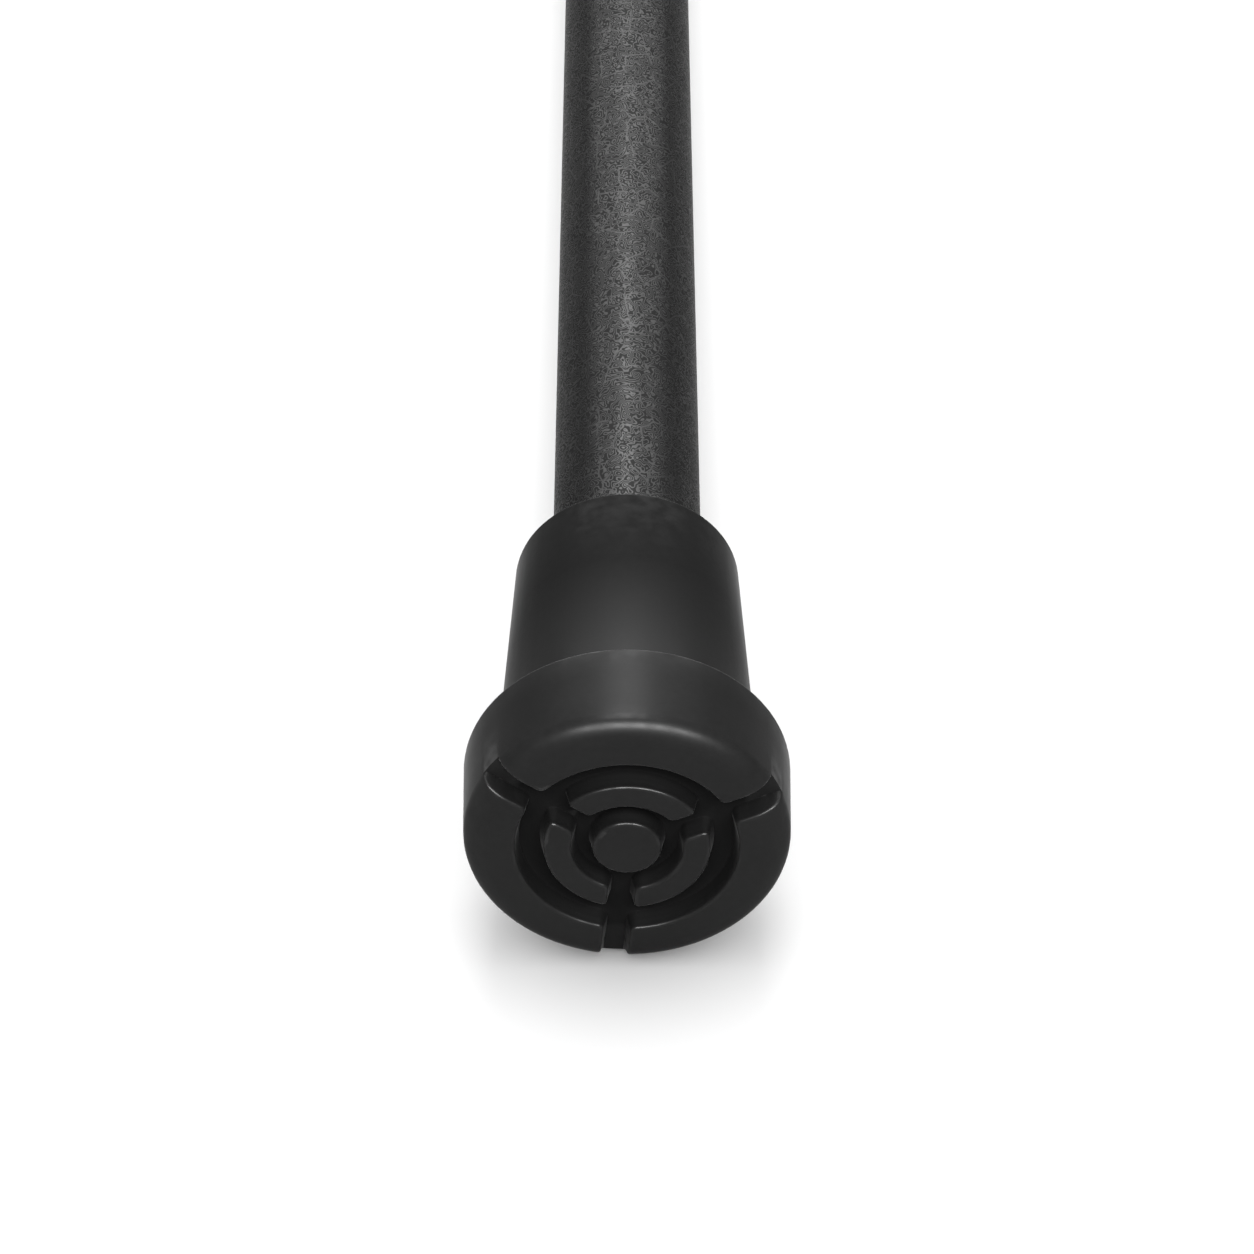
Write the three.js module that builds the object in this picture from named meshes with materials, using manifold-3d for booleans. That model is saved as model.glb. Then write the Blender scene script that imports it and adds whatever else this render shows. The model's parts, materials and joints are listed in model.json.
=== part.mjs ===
// Height-adjustable walking cane with a derby handle, lying on its side.
// Millimetres, +Z up. The shaft's axis is +Y: the origin is the middle of the
// rubber tip's walking face, and the handle is at the far end. The handle's
// plane is XY, with the nose towards -X and the palm rest towards +X.

import * as THREE from 'three';
import { mergeVertices } from 'three/addons/utils/BufferGeometryUtils.js';
import Module from 'manifold-3d';

const wasm = await Module();
wasm.setup();

// ---------------------------------------------------------------- dimensions

const GAP = 0.3; // room left between two pieces that touch
const ROUND = 36; // sides of a large round
const SMALL_ROUND = 12; // sides of a small round
const TURN = 2 * Math.PI;

// rubber tip
const TIP = {
  height: 57.5,
  flangeHeight: 15.6,
  flangeFootRadius: 22.57,
  flangeTopRadius: 22.89,
  edgeHeight: 3, // the rounded edge of the walking face is an ellipse
  edgeWidth: 4,
  neckFootRadius: 18.42,
  neckTopRadius: 16.5,
  socketFloor: 11.3,
  socketRadius: 11.35,
};
const TREAD = {
  depth: 3,
  slotDepth: 2.8,
  discRadius: 4.76,
  ringInner: 7.7,
  ringOuter: 11.49,
  landInner: 15.38,
  draft: 0.3, // how far each groove wall leans in
  chamfer: 0.4,
  slotCount: 3,
  slotMouth: 3.7,
  slotBottom: 1.9,
  slotTurn: THREE.MathUtils.degToRad(-95), // direction of the first slot from +X
};

// main tube, its bottom plug and washer
const SHAFT = { radius: 11.1, bore: 9.85, start: 14.8, end: 640 };
const WASHER = { radius: 10.9, hole: 3, start: 11.6, end: 13 };
const PLUG_FLANGE = { radius: 11, start: 13.2, end: 14.5 };
const HOLES = { count: 7, pitch: 25.4, top: 600, radius: 3.8 };
const SET_HOLE = 3; // the button stands in this hole, counted from the lowest

// collet and locking ring at the top of the main tube
const COLLET = { start: 620, step: 640.3, cone: 644, end: 652, radius: 12.9, tip: 11.6 };
const RING = { start: 622, end: 657, radius: 16.6, bore: 13.2, mouth: 10, flutes: 14 };

// handle tube, measured from the lower edge of the handle's collar
const TUBE = { radius: 9.525, bore: 8.125, end: 53 };
const LOWEST_GAP = 5; // between locking ring and collar at the lowest setting
const BUTTON_FROM_END = 45;
const COLLAR_Y = RING.end + LOWEST_GAP + SET_HOLE * HOLES.pitch;
const BUTTON_Y = HOLES.top - (HOLES.count - 1 - SET_HOLE) * HOLES.pitch - COLLAR_Y;
const TUBE_START = BUTTON_Y - BUTTON_FROM_END;
const BUTTON = { radius: 3.5, flange: 4.4, foot: 5.3, top: 13.6 };

// handle
const COLLAR = { radius: 13.9, height: 12.8, spigot: 11.7, spigotEnd: 18.6 };
const NECK_BORE = 9.8;
const WALL = 5.6; // handle surface to the hollow inside
const PAD_THICKNESS = 2.6;
const GRIP = { rings: 16, sides: 18, noseCap: 8, tailCap: 11 };
const CORE = { halfHeight: 3.6, halfThickness: 3.2, stem: 7.9, stemStart: 4 };
const PIN = { y: 32, radius: 2, halfLength: 10.7 };
const SCREW = { radius: 1.5, head: 2.7, headHeight: 2, sink: 3.4, reach: 6.5 };
const SCREW_AT = [0.2, 0.55, 0.83]; // share of the grip's length from the nose

// side view of the handle: its centre line, and its half height and half width
const spine = new THREE.SplineCurve([
  new THREE.Vector2(-45, 50),
  new THREE.Vector2(-33, 63),
  new THREE.Vector2(-12, 70),
  new THREE.Vector2(14, 71),
  new THREE.Vector2(42, 68),
  new THREE.Vector2(64, 66.5),
  new THREE.Vector2(84, 70),
]);
const girth = new THREE.SplineCurve([
  new THREE.Vector2(7, 7.5),
  new THREE.Vector2(10.5, 10.5),
  new THREE.Vector2(13, 13),
  new THREE.Vector2(13.5, 14.6),
  new THREE.Vector2(12.6, 15.5),
  new THREE.Vector2(11.8, 15),
  new THREE.Vector2(11.5, 13.5),
]);

// ------------------------------------------------------------------- helpers

// A closed mesh as a manifold-3d solid.
function solid(geometry) {
  const bare = new THREE.BufferGeometry();
  bare.setAttribute('position', geometry.getAttribute('position'));
  bare.setIndex(geometry.getIndex());
  const merged = mergeVertices(bare, 1e-4);
  const corners = merged.getIndex().array;
  const kept = [];
  for (let i = 0; i < corners.length; i += 3) {
    const [a, b, c] = corners.slice(i, i + 3);
    if (a !== b && b !== c && c !== a) kept.push(a, b, c);
  }
  return new wasm.Manifold(new wasm.Mesh({
    numProp: 3,
    vertProperties: new Float32Array(merged.getAttribute('position').array),
    triVerts: new Uint32Array(kept),
  }));
}

function geometryOf(body) {
  const mesh = body.getMesh();
  const geometry = new THREE.BufferGeometry();
  geometry.setAttribute('position', new THREE.BufferAttribute(mesh.vertProperties, 3));
  geometry.setIndex(new THREE.BufferAttribute(mesh.triVerts, 1));
  geometry.computeVertexNormals();
  return geometry;
}

function cutAll(body, tools) {
  return tools.reduce((rest, tool) => rest.subtract(tool), body);
}

// A round piece about the Y axis. The profile is [radius, height] points, counter-clockwise.
function turned(profile, sides = ROUND) {
  const points = profile.map(([radius, y]) => new THREE.Vector2(radius, y));
  return new THREE.LatheGeometry(points, sides);
}

// A round ring about the Y axis whose profile closes on itself.
function turnedRing(profile, sides = ROUND) {
  return turned([...profile, profile[0]], sides);
}

function tube(outer, inner, start, end) {
  return solid(turnedRing([[inner, start], [outer, start], [outer, end], [inner, end]]));
}

// A round bar along +Y from start to end.
function bar(radius, start, end, sides = ROUND) {
  return solid(turned([[0, start], [radius, start], [radius, end], [0, end]], sides));
}

// A round bar along Z through the point x, y, from low to high.
function crossBar(radius, x, y, low, high, sides = SMALL_ROUND) {
  const geometry = turned([[0, low], [radius, low], [radius, high], [0, high]], sides);
  return solid(geometry.rotateX(Math.PI / 2).translate(x, y, 0));
}

// A flat outline in XY given a thickness from z = low to z = high.
function plate(outline, low, high) {
  const geometry = new THREE.ExtrudeGeometry(outline, {
    depth: high - low,
    bevelEnabled: false,
    curveSegments: 12,
  });
  return solid(geometry.translate(0, 0, low));
}

function block(width, depth, height, x, y, z) {
  return solid(new THREE.BoxGeometry(width, depth, height).translate(x, y, z));
}

function finish(color, roughness, metalness) {
  return new THREE.MeshStandardMaterial({ color, roughness, metalness });
}

const blackRubber = () => finish(0x1d1d1e, 0.62, 0);
const blackNylon = () => finish(0x202022, 0.5, 0);
const texturedBlack = () => finish(0x232325, 0.55, 0.2);
const satinBlackTube = () => finish(0x29292b, 0.38, 0.6);
const bareSteel = () => finish(0xa9abad, 0.32, 1);
const castAluminium = () => finish(0xb4b6b8, 0.5, 1);
const softGrip = () => finish(0x2a2a2c, 0.85, 0);

function addPiece(group, name, body, material) {
  const mesh = new THREE.Mesh(geometryOf(body), material);
  mesh.name = name;
  group.add(mesh);
}

// --------------------------------------------------------------- rubber tip

// Quarter ellipse from the walking face round to the flange's side.
function facingEdge(steps) {
  const points = [];
  for (let i = 0; i <= steps; i++) {
    const angle = (Math.PI / 2) * (i / steps);
    const radius = TIP.flangeFootRadius - TIP.edgeWidth * (1 - Math.sin(angle));
    points.push([radius, TIP.edgeHeight * (1 - Math.cos(angle))]);
  }
  return points;
}

// One round groove, from the edge of the land inside it to the one outside it.
function groove(inner, outer) {
  const { depth, draft, chamfer } = TREAD;
  return [
    [inner - chamfer, 0],
    [inner, chamfer],
    [inner + draft, depth],
    [outer - draft, depth],
    [outer, chamfer],
    [outer + chamfer, 0],
  ];
}

// A straight slot with leaning walls, cut outwards from just outside the middle disc.
function treadSlot(angle) {
  const from = (TREAD.discRadius + TREAD.ringInner) / 2;
  const to = TIP.flangeTopRadius + 2;
  const half = TREAD.slotMouth / 2;
  const outline = new THREE.Shape();
  outline.moveTo(-half, -1);
  outline.lineTo(half, -1);
  outline.lineTo(half, 0);
  outline.lineTo(TREAD.slotBottom / 2, TREAD.slotDepth);
  outline.lineTo(-TREAD.slotBottom / 2, TREAD.slotDepth);
  outline.lineTo(-half, 0);
  const geometry = new THREE.ExtrudeGeometry(outline, { depth: to - from, bevelEnabled: false });
  geometry.translate(0, 0, from);
  geometry.rotateY(Math.PI / 2 - angle);
  return solid(geometry);
}

function makeFerrule() {
  const body = solid(turned([
    [0, 0],
    ...groove(TREAD.discRadius, TREAD.ringInner),
    ...groove(TREAD.ringOuter, TREAD.landInner),
    ...facingEdge(6),
    [TIP.flangeTopRadius, TIP.flangeHeight - 0.6],
    [TIP.flangeTopRadius - 0.6, TIP.flangeHeight],
    [TIP.neckFootRadius + 1, TIP.flangeHeight + 0.8],
    [TIP.neckFootRadius, TIP.flangeHeight + 1.8],
    [TIP.neckTopRadius, TIP.height - 0.8],
    [TIP.neckTopRadius - 0.8, TIP.height],
    [TIP.socketRadius + 0.7, TIP.height],
    [TIP.socketRadius, TIP.height - 1.5],
    [TIP.socketRadius, TIP.socketFloor],
    [0, TIP.socketFloor],
  ]));
  const slots = [];
  for (let i = 0; i < TREAD.slotCount; i++) {
    slots.push(treadSlot(TREAD.slotTurn + (TURN * i) / TREAD.slotCount));
  }
  return cutAll(body, slots);
}

// -------------------------------------------------------------- lower shaft

function makeFootPlug() {
  const stem = SHAFT.bore - GAP;
  return solid(turned([
    [0, PLUG_FLANGE.start],
    [PLUG_FLANGE.radius, PLUG_FLANGE.start],
    [PLUG_FLANGE.radius, PLUG_FLANGE.end],
    [stem, PLUG_FLANGE.end],
    [stem, SHAFT.start + 14],
    [stem - 0.8, SHAFT.start + 15],
    [stem - 2, SHAFT.start + 15],
    [stem - 2, PLUG_FLANGE.end + 1],
    [0, PLUG_FLANGE.end + 1],
  ]));
}

function makeShaftTube() {
  const holes = [];
  for (let i = 0; i < HOLES.count; i++) {
    const y = HOLES.top - i * HOLES.pitch;
    holes.push(crossBar(HOLES.radius, 0, y, SHAFT.bore / 2, SHAFT.radius + 2));
  }
  return cutAll(tube(SHAFT.radius, SHAFT.bore, SHAFT.start, SHAFT.end), holes);
}

// Nylon bush over the end of the main tube, with four fingers that close on the handle tube.
function makeCollet() {
  const sleeve = SHAFT.radius + 0.2;
  const grip = TUBE.radius + 0.2;
  const body = solid(turnedRing([
    [sleeve, COLLET.start],
    [COLLET.radius, COLLET.start],
    [COLLET.radius, COLLET.cone],
    [COLLET.tip, COLLET.end],
    [grip, COLLET.end],
    [grip, COLLET.step],
    [sleeve, COLLET.step],
  ]));
  const length = COLLET.end - COLLET.step;
  const y = COLLET.step + 1 + length / 2;
  const width = 4 * COLLET.radius;
  return cutAll(body, [block(width, length, 1.2, 0, y, 0), block(1.2, length, width, 0, y, 0)]);
}

function makeLockingRing() {
  const coneRadius = COLLET.tip + GAP;
  const body = solid(turnedRing([
    [RING.bore, RING.start],
    [RING.radius - 1.6, RING.start],
    [RING.radius - 0.8, RING.start + 0.8],
    [RING.radius - 0.8, RING.start + 5],
    [RING.radius, RING.start + 6.5],
    [RING.radius, RING.end - 9],
    [RING.radius - 0.6, RING.end - 5],
    [RING.radius - 2.2, RING.end - 1.6],
    [RING.radius - 3.8, RING.end],
    [RING.mouth, RING.end],
    [RING.mouth, RING.end - 1],
    [coneRadius, RING.end - 1.4],
    [coneRadius, RING.end - 4],
    [coneRadius, COLLET.end + 0.6],
    [RING.bore, COLLET.cone + 0.6],
  ]));
  const flutes = [];
  for (let i = 0; i < RING.flutes; i++) {
    const angle = (TURN * i) / RING.flutes;
    const flute = turned(
      [[0, RING.start + 8], [2, RING.start + 8], [2, RING.end + 1], [0, RING.end + 1]],
      10,
    );
    const out = RING.radius + 1;
    flutes.push(solid(flute.translate(out * Math.cos(angle), 0, out * Math.sin(angle))));
  }
  return cutAll(body, flutes);
}

// Rubber ring under the locking ring's roof that stops the two tubes rattling.
function makeDampingRing() {
  const section = new THREE.TorusGeometry(10.75, 0.85, 6, 24);
  return solid(section.rotateX(Math.PI / 2).translate(0, RING.end - 2.7, 0));
}

// ----------------------------------------- handle tube and its snap button

function makeHandleTube() {
  const buttonHole = crossBar(HOLES.radius, 0, BUTTON_Y, TUBE.bore / 2, TUBE.radius + 2);
  const pinHole = crossBar(PIN.radius + 0.25, 0, PIN.y, -TUBE.radius - 2, TUBE.radius + 2);
  return cutAll(tube(TUBE.radius, TUBE.bore, TUBE_START, TUBE.end), [buttonHole, pinHole]);
}

function makeGlideBush() {
  const stem = TUBE.bore - 0.2;
  return solid(turnedRing([
    [4, TUBE_START - 4],
    [TUBE.radius - 0.4, TUBE_START - 4],
    [TUBE.radius + 0.1, TUBE_START - 3],
    [TUBE.radius + 0.1, TUBE_START - GAP],
    [stem, TUBE_START - GAP],
    [stem, TUBE_START + 14],
    [4, TUBE_START + 14],
  ]));
}

function makeSnapButton() {
  const { radius, flange, foot, top } = BUTTON;
  const geometry = turned([
    [0, foot],
    [flange, foot],
    [flange, foot + 1.2],
    [radius, foot + 1.2],
    [radius, top - 2],
    [radius - 0.3, top - 1],
    [radius - 1.3, top - 0.3],
    [0, top],
  ], SMALL_ROUND);
  return solid(geometry.rotateX(Math.PI / 2).translate(0, BUTTON_Y, 0));
}

// A strip of spring steel folded into a V, lying inside the tube with its upper
// leg under the button.
function makeButtonSpring() {
  const halfWidth = 3.5;
  const halfThickness = 0.3;
  const section = new THREE.Shape([
    new THREE.Vector2(-halfWidth, -halfThickness),
    new THREE.Vector2(halfWidth, -halfThickness),
    new THREE.Vector2(halfWidth, halfThickness),
    new THREE.Vector2(-halfWidth, halfThickness),
  ]);
  const upperLeg = BUTTON.foot - GAP - halfThickness;
  const fold = new THREE.CatmullRomCurve3([
    new THREE.Vector3(0, -6, upperLeg),
    new THREE.Vector3(0, 7, upperLeg - 0.05),
    new THREE.Vector3(0, 27, 1.6),
    new THREE.Vector3(0, 31, -0.4),
    new THREE.Vector3(0, 27, -2.4),
    new THREE.Vector3(0, -8, -6.2),
  ]);
  const strip = new THREE.ExtrudeGeometry(section, { steps: 28, extrudePath: fold });
  return solid(strip.translate(0, BUTTON_Y, 0));
}

// ------------------------------------------------------------------- handle

// Centre, side direction and half sizes of the grip at a share of its length.
function gripAt(share) {
  const t = spine.getUtoTmapping(share);
  const centre = spine.getPoint(t);
  const along = spine.getTangent(t);
  const size = girth.getPoint(t);
  return { centre, side: new THREE.Vector2(-along.y, along.x), height: size.x, width: size.y };
}

// The grip's smooth form, or the same form with its surface moved in by inset.
function gripForm(inset) {
  const length = spine.getLength();
  const { rings, sides, noseCap, tailCap } = GRIP;
  const places = [];
  const corners = [];
  const add = (x, y, z) => places.push(x, y, z);
  for (let i = 0; i <= rings; i++) {
    const eased = (1 - Math.cos((Math.PI * i) / rings)) / 2;
    const along = inset + (length - 2 * inset) * eased;
    const { centre, side, height, width } = gripAt(along / length);
    if (i === 0 || i === rings) {
      add(centre.x, centre.y, 0);
      continue;
    }
    const nose = Math.max(0, 1 - (along - inset) / noseCap);
    const tail = Math.max(0, 1 - (length - inset - along) / tailCap);
    const cap = Math.sqrt(1 - nose ** 2) * Math.sqrt(1 - tail ** 2);
    for (let j = 0; j < sides; j++) {
      const angle = (TURN * j) / sides;
      const up = cap * (height - inset) * Math.cos(angle);
      add(centre.x + side.x * up, centre.y + side.y * up, cap * (width - inset) * Math.sin(angle));
    }
  }
  const corner = (ring, j) => 1 + (ring - 1) * sides + (j % sides);
  const last = 1 + (rings - 1) * sides;
  for (let j = 0; j < sides; j++) {
    corners.push(0, corner(1, j + 1), corner(1, j));
    corners.push(last, corner(rings - 1, j), corner(rings - 1, j + 1));
    for (let i = 1; i < rings - 1; i++) {
      corners.push(corner(i, j), corner(i, j + 1), corner(i + 1, j));
      corners.push(corner(i, j + 1), corner(i + 1, j + 1), corner(i + 1, j));
    }
  }
  const geometry = new THREE.BufferGeometry();
  geometry.setAttribute('position', new THREE.BufferAttribute(new Float32Array(places), 3));
  geometry.setIndex(corners);
  return solid(geometry);
}

// Everything above the pad's lower edge in the side view, as a thick plate.
function padZone(grow) {
  const front = -14 - grow;
  const outline = new THREE.Shape();
  outline.moveTo(front, 110);
  outline.lineTo(front, 82);
  outline.quadraticCurveTo(front + 4, 76 - grow, 10, 75.5 - grow);
  outline.splineThru([
    new THREE.Vector2(42, 72.5 - grow),
    new THREE.Vector2(64, 71 - grow),
    new THREE.Vector2(84, 74 - grow),
    new THREE.Vector2(100, 78 - grow),
  ]);
  outline.lineTo(100, 110);
  return plate(outline, -25, 25);
}

function makePad() {
  return gripForm(0).subtract(gripForm(PAD_THICKNESS)).intersect(padZone(0));
}

// Cast T inside the handle: a stem in the tube, and a bar along the grip.
function makeCore() {
  const upper = [];
  const lower = [];
  for (let i = 0; i <= 12; i++) {
    const { centre, side } = gripAt(0.16 + (0.72 * i) / 12);
    upper.unshift(centre.clone().addScaledVector(side, CORE.halfHeight));
    lower.push(centre.clone().addScaledVector(side, -CORE.halfHeight));
  }
  const arms = plate(new THREE.Shape([...lower, ...upper]), -CORE.halfThickness, CORE.halfThickness);
  const body = bar(CORE.stem, CORE.stemStart, 69, 24).add(arms);
  const holes = SCREW_AT.map((share) => {
    const { centre } = gripAt(share);
    return crossBar(SCREW.radius + GAP, centre.x, centre.y, -20, 20);
  });
  holes.push(crossBar(PIN.radius + 0.25, 0, PIN.y, -20, 20));
  return cutAll(body, holes);
}

// Height of the seat of a screw's head above the middle plane.
function screwSeat(share) {
  return gripAt(share).width - SCREW.sink;
}

// Both halves of the handle in one piece, before they are parted.
function makeHandleBlank() {
  const neckFoot = COLLAR.height + GAP;
  const neck = solid(turned([
    [0, neckFoot],
    [COLLAR.radius, neckFoot],
    [COLLAR.radius - 0.6, neckFoot + 4],
    [12.4, 28],
    [12.2, 40],
    [13, 50],
    [14.2, 57],
    [14.2, 66],
    [0, 66],
  ]));
  const form = gripForm(0);
  let body = form.add(neck);
  body = body.subtract(padZone(GAP).subtract(gripForm(PAD_THICKNESS + GAP)));
  body = body.subtract(gripForm(WALL));
  const bossEnd = 20;
  for (const share of SCREW_AT) {
    const { centre } = gripAt(share);
    const inner = gripForm(WALL - 1);
    for (const way of [-1, 1]) {
      const near = way * (CORE.halfThickness + GAP);
      const far = way * bossEnd;
      const low = Math.min(near, far);
      const high = Math.max(near, far);
      const boss = crossBar(3.4, centre.x, centre.y, low, high);
      body = body.add(boss.intersect(inner));
    }
  }
  const cuts = [
    bar(NECK_BORE, neckFoot - 1, 70, ROUND),
    bar(COLLAR.spigot + GAP, neckFoot - 1, COLLAR.spigotEnd + GAP),
    crossBar(PIN.radius + 0.25, 0, PIN.y, -PIN.halfLength - GAP, PIN.halfLength + GAP),
  ];
  for (const share of SCREW_AT) {
    const { centre } = gripAt(share);
    const seat = screwSeat(share);
    cuts.push(crossBar(SCREW.radius + 0.2, centre.x, centre.y, -SCREW.reach - GAP, 20));
    cuts.push(crossBar(SCREW.head + GAP, centre.x, centre.y, seat, 20));
  }
  return cutAll(body, cuts);
}

// The half of the handle above (way = 1) or below (way = -1) the middle plane.
function parted(blank, way) {
  const reach = 200;
  const middle = way * (reach / 2 + GAP / 2);
  return blank.intersect(block(reach, reach, reach, 0, 60, middle));
}

function makeCollar() {
  const bore = NECK_BORE;
  const { radius, height, spigot, spigotEnd } = COLLAR;
  return solid(turnedRing([
    [bore, 0],
    [radius - 1.4, 0],
    [radius - 0.2, 1.2],
    [radius - 0.2, 2.6],
    [radius - 0.8, 3.2],
    [radius - 0.8, 3.8],
    [radius - 0.2, 4.4],
    [radius, height],
    [spigot, height],
    [spigot, spigotEnd],
    [bore, spigotEnd],
  ]));
}

function makePin() {
  const { radius, halfLength, y } = PIN;
  const geometry = turned([
    [0, -halfLength],
    [radius - 0.4, -halfLength],
    [radius, -halfLength + 0.8],
    [radius, halfLength - 0.8],
    [radius - 0.4, halfLength],
    [0, halfLength],
  ], SMALL_ROUND);
  return solid(geometry.rotateX(Math.PI / 2).translate(0, y, 0));
}

function makeScrew(share) {
  const { centre } = gripAt(share);
  const under = screwSeat(share) + 0.2; // underside of the head
  const { radius, head, headHeight, reach } = SCREW;
  const geometry = turned([
    [0, -reach],
    [radius - 0.6, -reach],
    [radius, 1 - reach],
    [radius, under],
    [head, under],
    [head, under + headHeight - 0.6],
    [head - 0.6, under + headHeight],
    [0, under + headHeight],
  ], SMALL_ROUND);
  const body = solid(geometry.rotateX(Math.PI / 2).translate(centre.x, centre.y, 0));
  const top = under + headHeight;
  return body.subtract(crossBar(1.3, centre.x, centre.y, top - 1.3, top + 1, 6));
}

// ------------------------------------------------------------------ assembly

const cane = new THREE.Group();

const shaft = new THREE.Group();
addPiece(shaft, 'ferrule', makeFerrule(), blackRubber());
addPiece(
  shaft,
  'ferrule_washer',
  tube(WASHER.radius, WASHER.hole, WASHER.start, WASHER.end),
  bareSteel(),
);
addPiece(shaft, 'shaft_foot_plug', makeFootPlug(), blackNylon());
addPiece(shaft, 'shaft_tube', makeShaftTube(), texturedBlack());
addPiece(shaft, 'shaft_collet', makeCollet(), blackNylon());
cane.add(shaft);

const lock = new THREE.Group();
addPiece(lock, 'locking_ring', makeLockingRing(), blackNylon());
addPiece(lock, 'damping_ring', makeDampingRing(), blackRubber());
cane.add(lock);

const handle = new THREE.Group();
handle.position.y = COLLAR_Y;
addPiece(handle, 'handle_tube', makeHandleTube(), satinBlackTube());
addPiece(handle, 'glide_bush', makeGlideBush(), blackNylon());
addPiece(handle, 'button_spring', makeButtonSpring(), bareSteel());
addPiece(handle, 'snap_button', makeSnapButton(), bareSteel());
addPiece(handle, 'handle_collar', makeCollar(), castAluminium());
addPiece(handle, 'handle_core', makeCore(), castAluminium());
addPiece(handle, 'cross_pin', makePin(), bareSteel());
const blank = makeHandleBlank();
addPiece(handle, 'handle_shell_left', parted(blank, 1), blackNylon());
addPiece(handle, 'handle_shell_right', parted(blank, -1), blackNylon());
addPiece(handle, 'palm_pad', makePad(), softGrip());
SCREW_AT.forEach((share, i) => {
  addPiece(handle, `shell_screw_${i + 1}`, makeScrew(share), bareSteel());
});
cane.add(handle);

export default cane;
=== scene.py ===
# %% [markdown]
# # A height-adjustable walking cane
#
# The cane lies on a pale studio floor with its rubber tip towards us. It is a
# black tube with a wrinkled powder coat, a moulded rubber tip, and further up
# a locking ring, an inner tube and a two-part handle with a soft pad.
#
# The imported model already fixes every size, joint and place, so the first step
# loads it. What follows only adds surfaces: each visible piece is rebuilt finely
# and stands for its plain CAD node, and the hidden ones get a finish of their own.

# %% Load the frame
import json
import math

import bmesh
import bpy
from mathutils import Matrix, Vector


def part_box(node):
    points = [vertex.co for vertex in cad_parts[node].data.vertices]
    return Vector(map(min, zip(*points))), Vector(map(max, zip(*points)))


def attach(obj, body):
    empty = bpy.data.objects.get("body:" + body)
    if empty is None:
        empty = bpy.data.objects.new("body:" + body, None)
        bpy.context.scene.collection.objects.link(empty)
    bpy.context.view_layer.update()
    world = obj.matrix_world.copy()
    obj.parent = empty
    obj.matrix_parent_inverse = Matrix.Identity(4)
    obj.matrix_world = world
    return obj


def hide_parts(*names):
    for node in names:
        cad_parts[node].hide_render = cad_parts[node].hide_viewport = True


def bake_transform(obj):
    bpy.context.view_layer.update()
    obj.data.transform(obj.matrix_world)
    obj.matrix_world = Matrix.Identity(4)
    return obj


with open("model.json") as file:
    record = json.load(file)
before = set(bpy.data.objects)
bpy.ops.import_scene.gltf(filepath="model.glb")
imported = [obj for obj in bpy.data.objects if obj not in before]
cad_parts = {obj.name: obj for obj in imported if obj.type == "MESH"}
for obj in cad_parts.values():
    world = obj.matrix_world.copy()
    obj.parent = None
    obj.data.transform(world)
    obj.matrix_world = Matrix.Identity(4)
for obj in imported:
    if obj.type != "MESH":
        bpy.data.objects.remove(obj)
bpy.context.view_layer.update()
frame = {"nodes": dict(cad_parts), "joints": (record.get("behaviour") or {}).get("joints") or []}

MM = 0.001

# %% [markdown]
# ## The camera
#
# We look down the cane from in front of the tip and above it. A long lens keeps
# the tip's flange and the tube nearly parallel-sided while the tread still faces
# us. The place is given from the middle of the tip's face, which is the origin.

# %% Camera
CAMERA_PITCH = math.radians(40.66)  # below the horizon
CAMERA_PLACE = (0.0, -375.7 * MM, 362.8 * MM)
CAMERA_LENS = 109.2

camera_data = bpy.data.cameras.new("camera")
camera_data.lens = CAMERA_LENS
camera_data.sensor_width = 36.0
camera_data.clip_start = 0.01
camera_data.clip_end = 100.0
camera = bpy.data.objects.new("camera", camera_data)
camera.location = CAMERA_PLACE
camera.rotation_euler = (math.pi / 2 - CAMERA_PITCH, 0.0, 0.0)
bpy.context.scene.collection.objects.link(camera)
bpy.context.scene.camera = camera
print("camera at", tuple(round(v, 3) for v in camera.location), "lens", CAMERA_LENS)

# %% [markdown]
# ## Floor and light
#
# A cane on its side touches the floor in two places: the tip's flange and the
# thickest part of the handle. The flange is the wider of the two, so the floor
# leans by half a degree to meet both.
#
# The soft box overhead and an even white sky light the matt surfaces, and leave a
# faint shadow close to the tip. Black rubber shows little of that: it is drawn by
# what it mirrors. A wide panel past the handle gives the pale band along the top
# of the tube, and a strip over the tip gives the highlight on its rounded rim.
# Both are seen only as reflections. Glossy surfaces see the sky and the floor
# much darker than they are, which keeps the sides of the tube black.

# %% Floor
tip_low, tip_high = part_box("ferrule")
grip_low, grip_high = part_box("handle_shell_right")
FLANGE_AT = 0.27  # where the flange is widest, as a share of the tip's height
GRIP_AT = 14 * MM  # from the grip's top down to where it is thickest
tip_touch = Vector((0, tip_high.y * FLANGE_AT, tip_low.z))
grip_touch = Vector((0, grip_high.y - GRIP_AT, grip_low.z))
lean = math.atan2(grip_touch.z - tip_touch.z, grip_touch.y - tip_touch.y)
FLOOR_HALF = 20.0
FLOOR_DROP = 0.05 * MM  # a hair of room under the flange

corners = [(-FLOOR_HALF, -FLOOR_HALF), (FLOOR_HALF, -FLOOR_HALF),
           (FLOOR_HALF, FLOOR_HALF), (-FLOOR_HALF, FLOOR_HALF)]
floor_mesh = bpy.data.meshes.new("floor")
floor_mesh.from_pydata(
    [(x, y, tip_touch.z - FLOOR_DROP + (y - tip_touch.y) * math.tan(lean)) for x, y in corners],
    [], [(0, 1, 2, 3)])
floor = bpy.data.objects.new("floor", floor_mesh)
bpy.context.scene.collection.objects.link(floor)
print("floor leans", round(math.degrees(lean), 2), "degrees")

# %% Floor paint
FLOOR_WHITE = (0.93, 0.93, 0.93, 1)
FLOOR_MIRRORED = (0.13, 0.13, 0.13, 1)  # what glossy surfaces see of it


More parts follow.
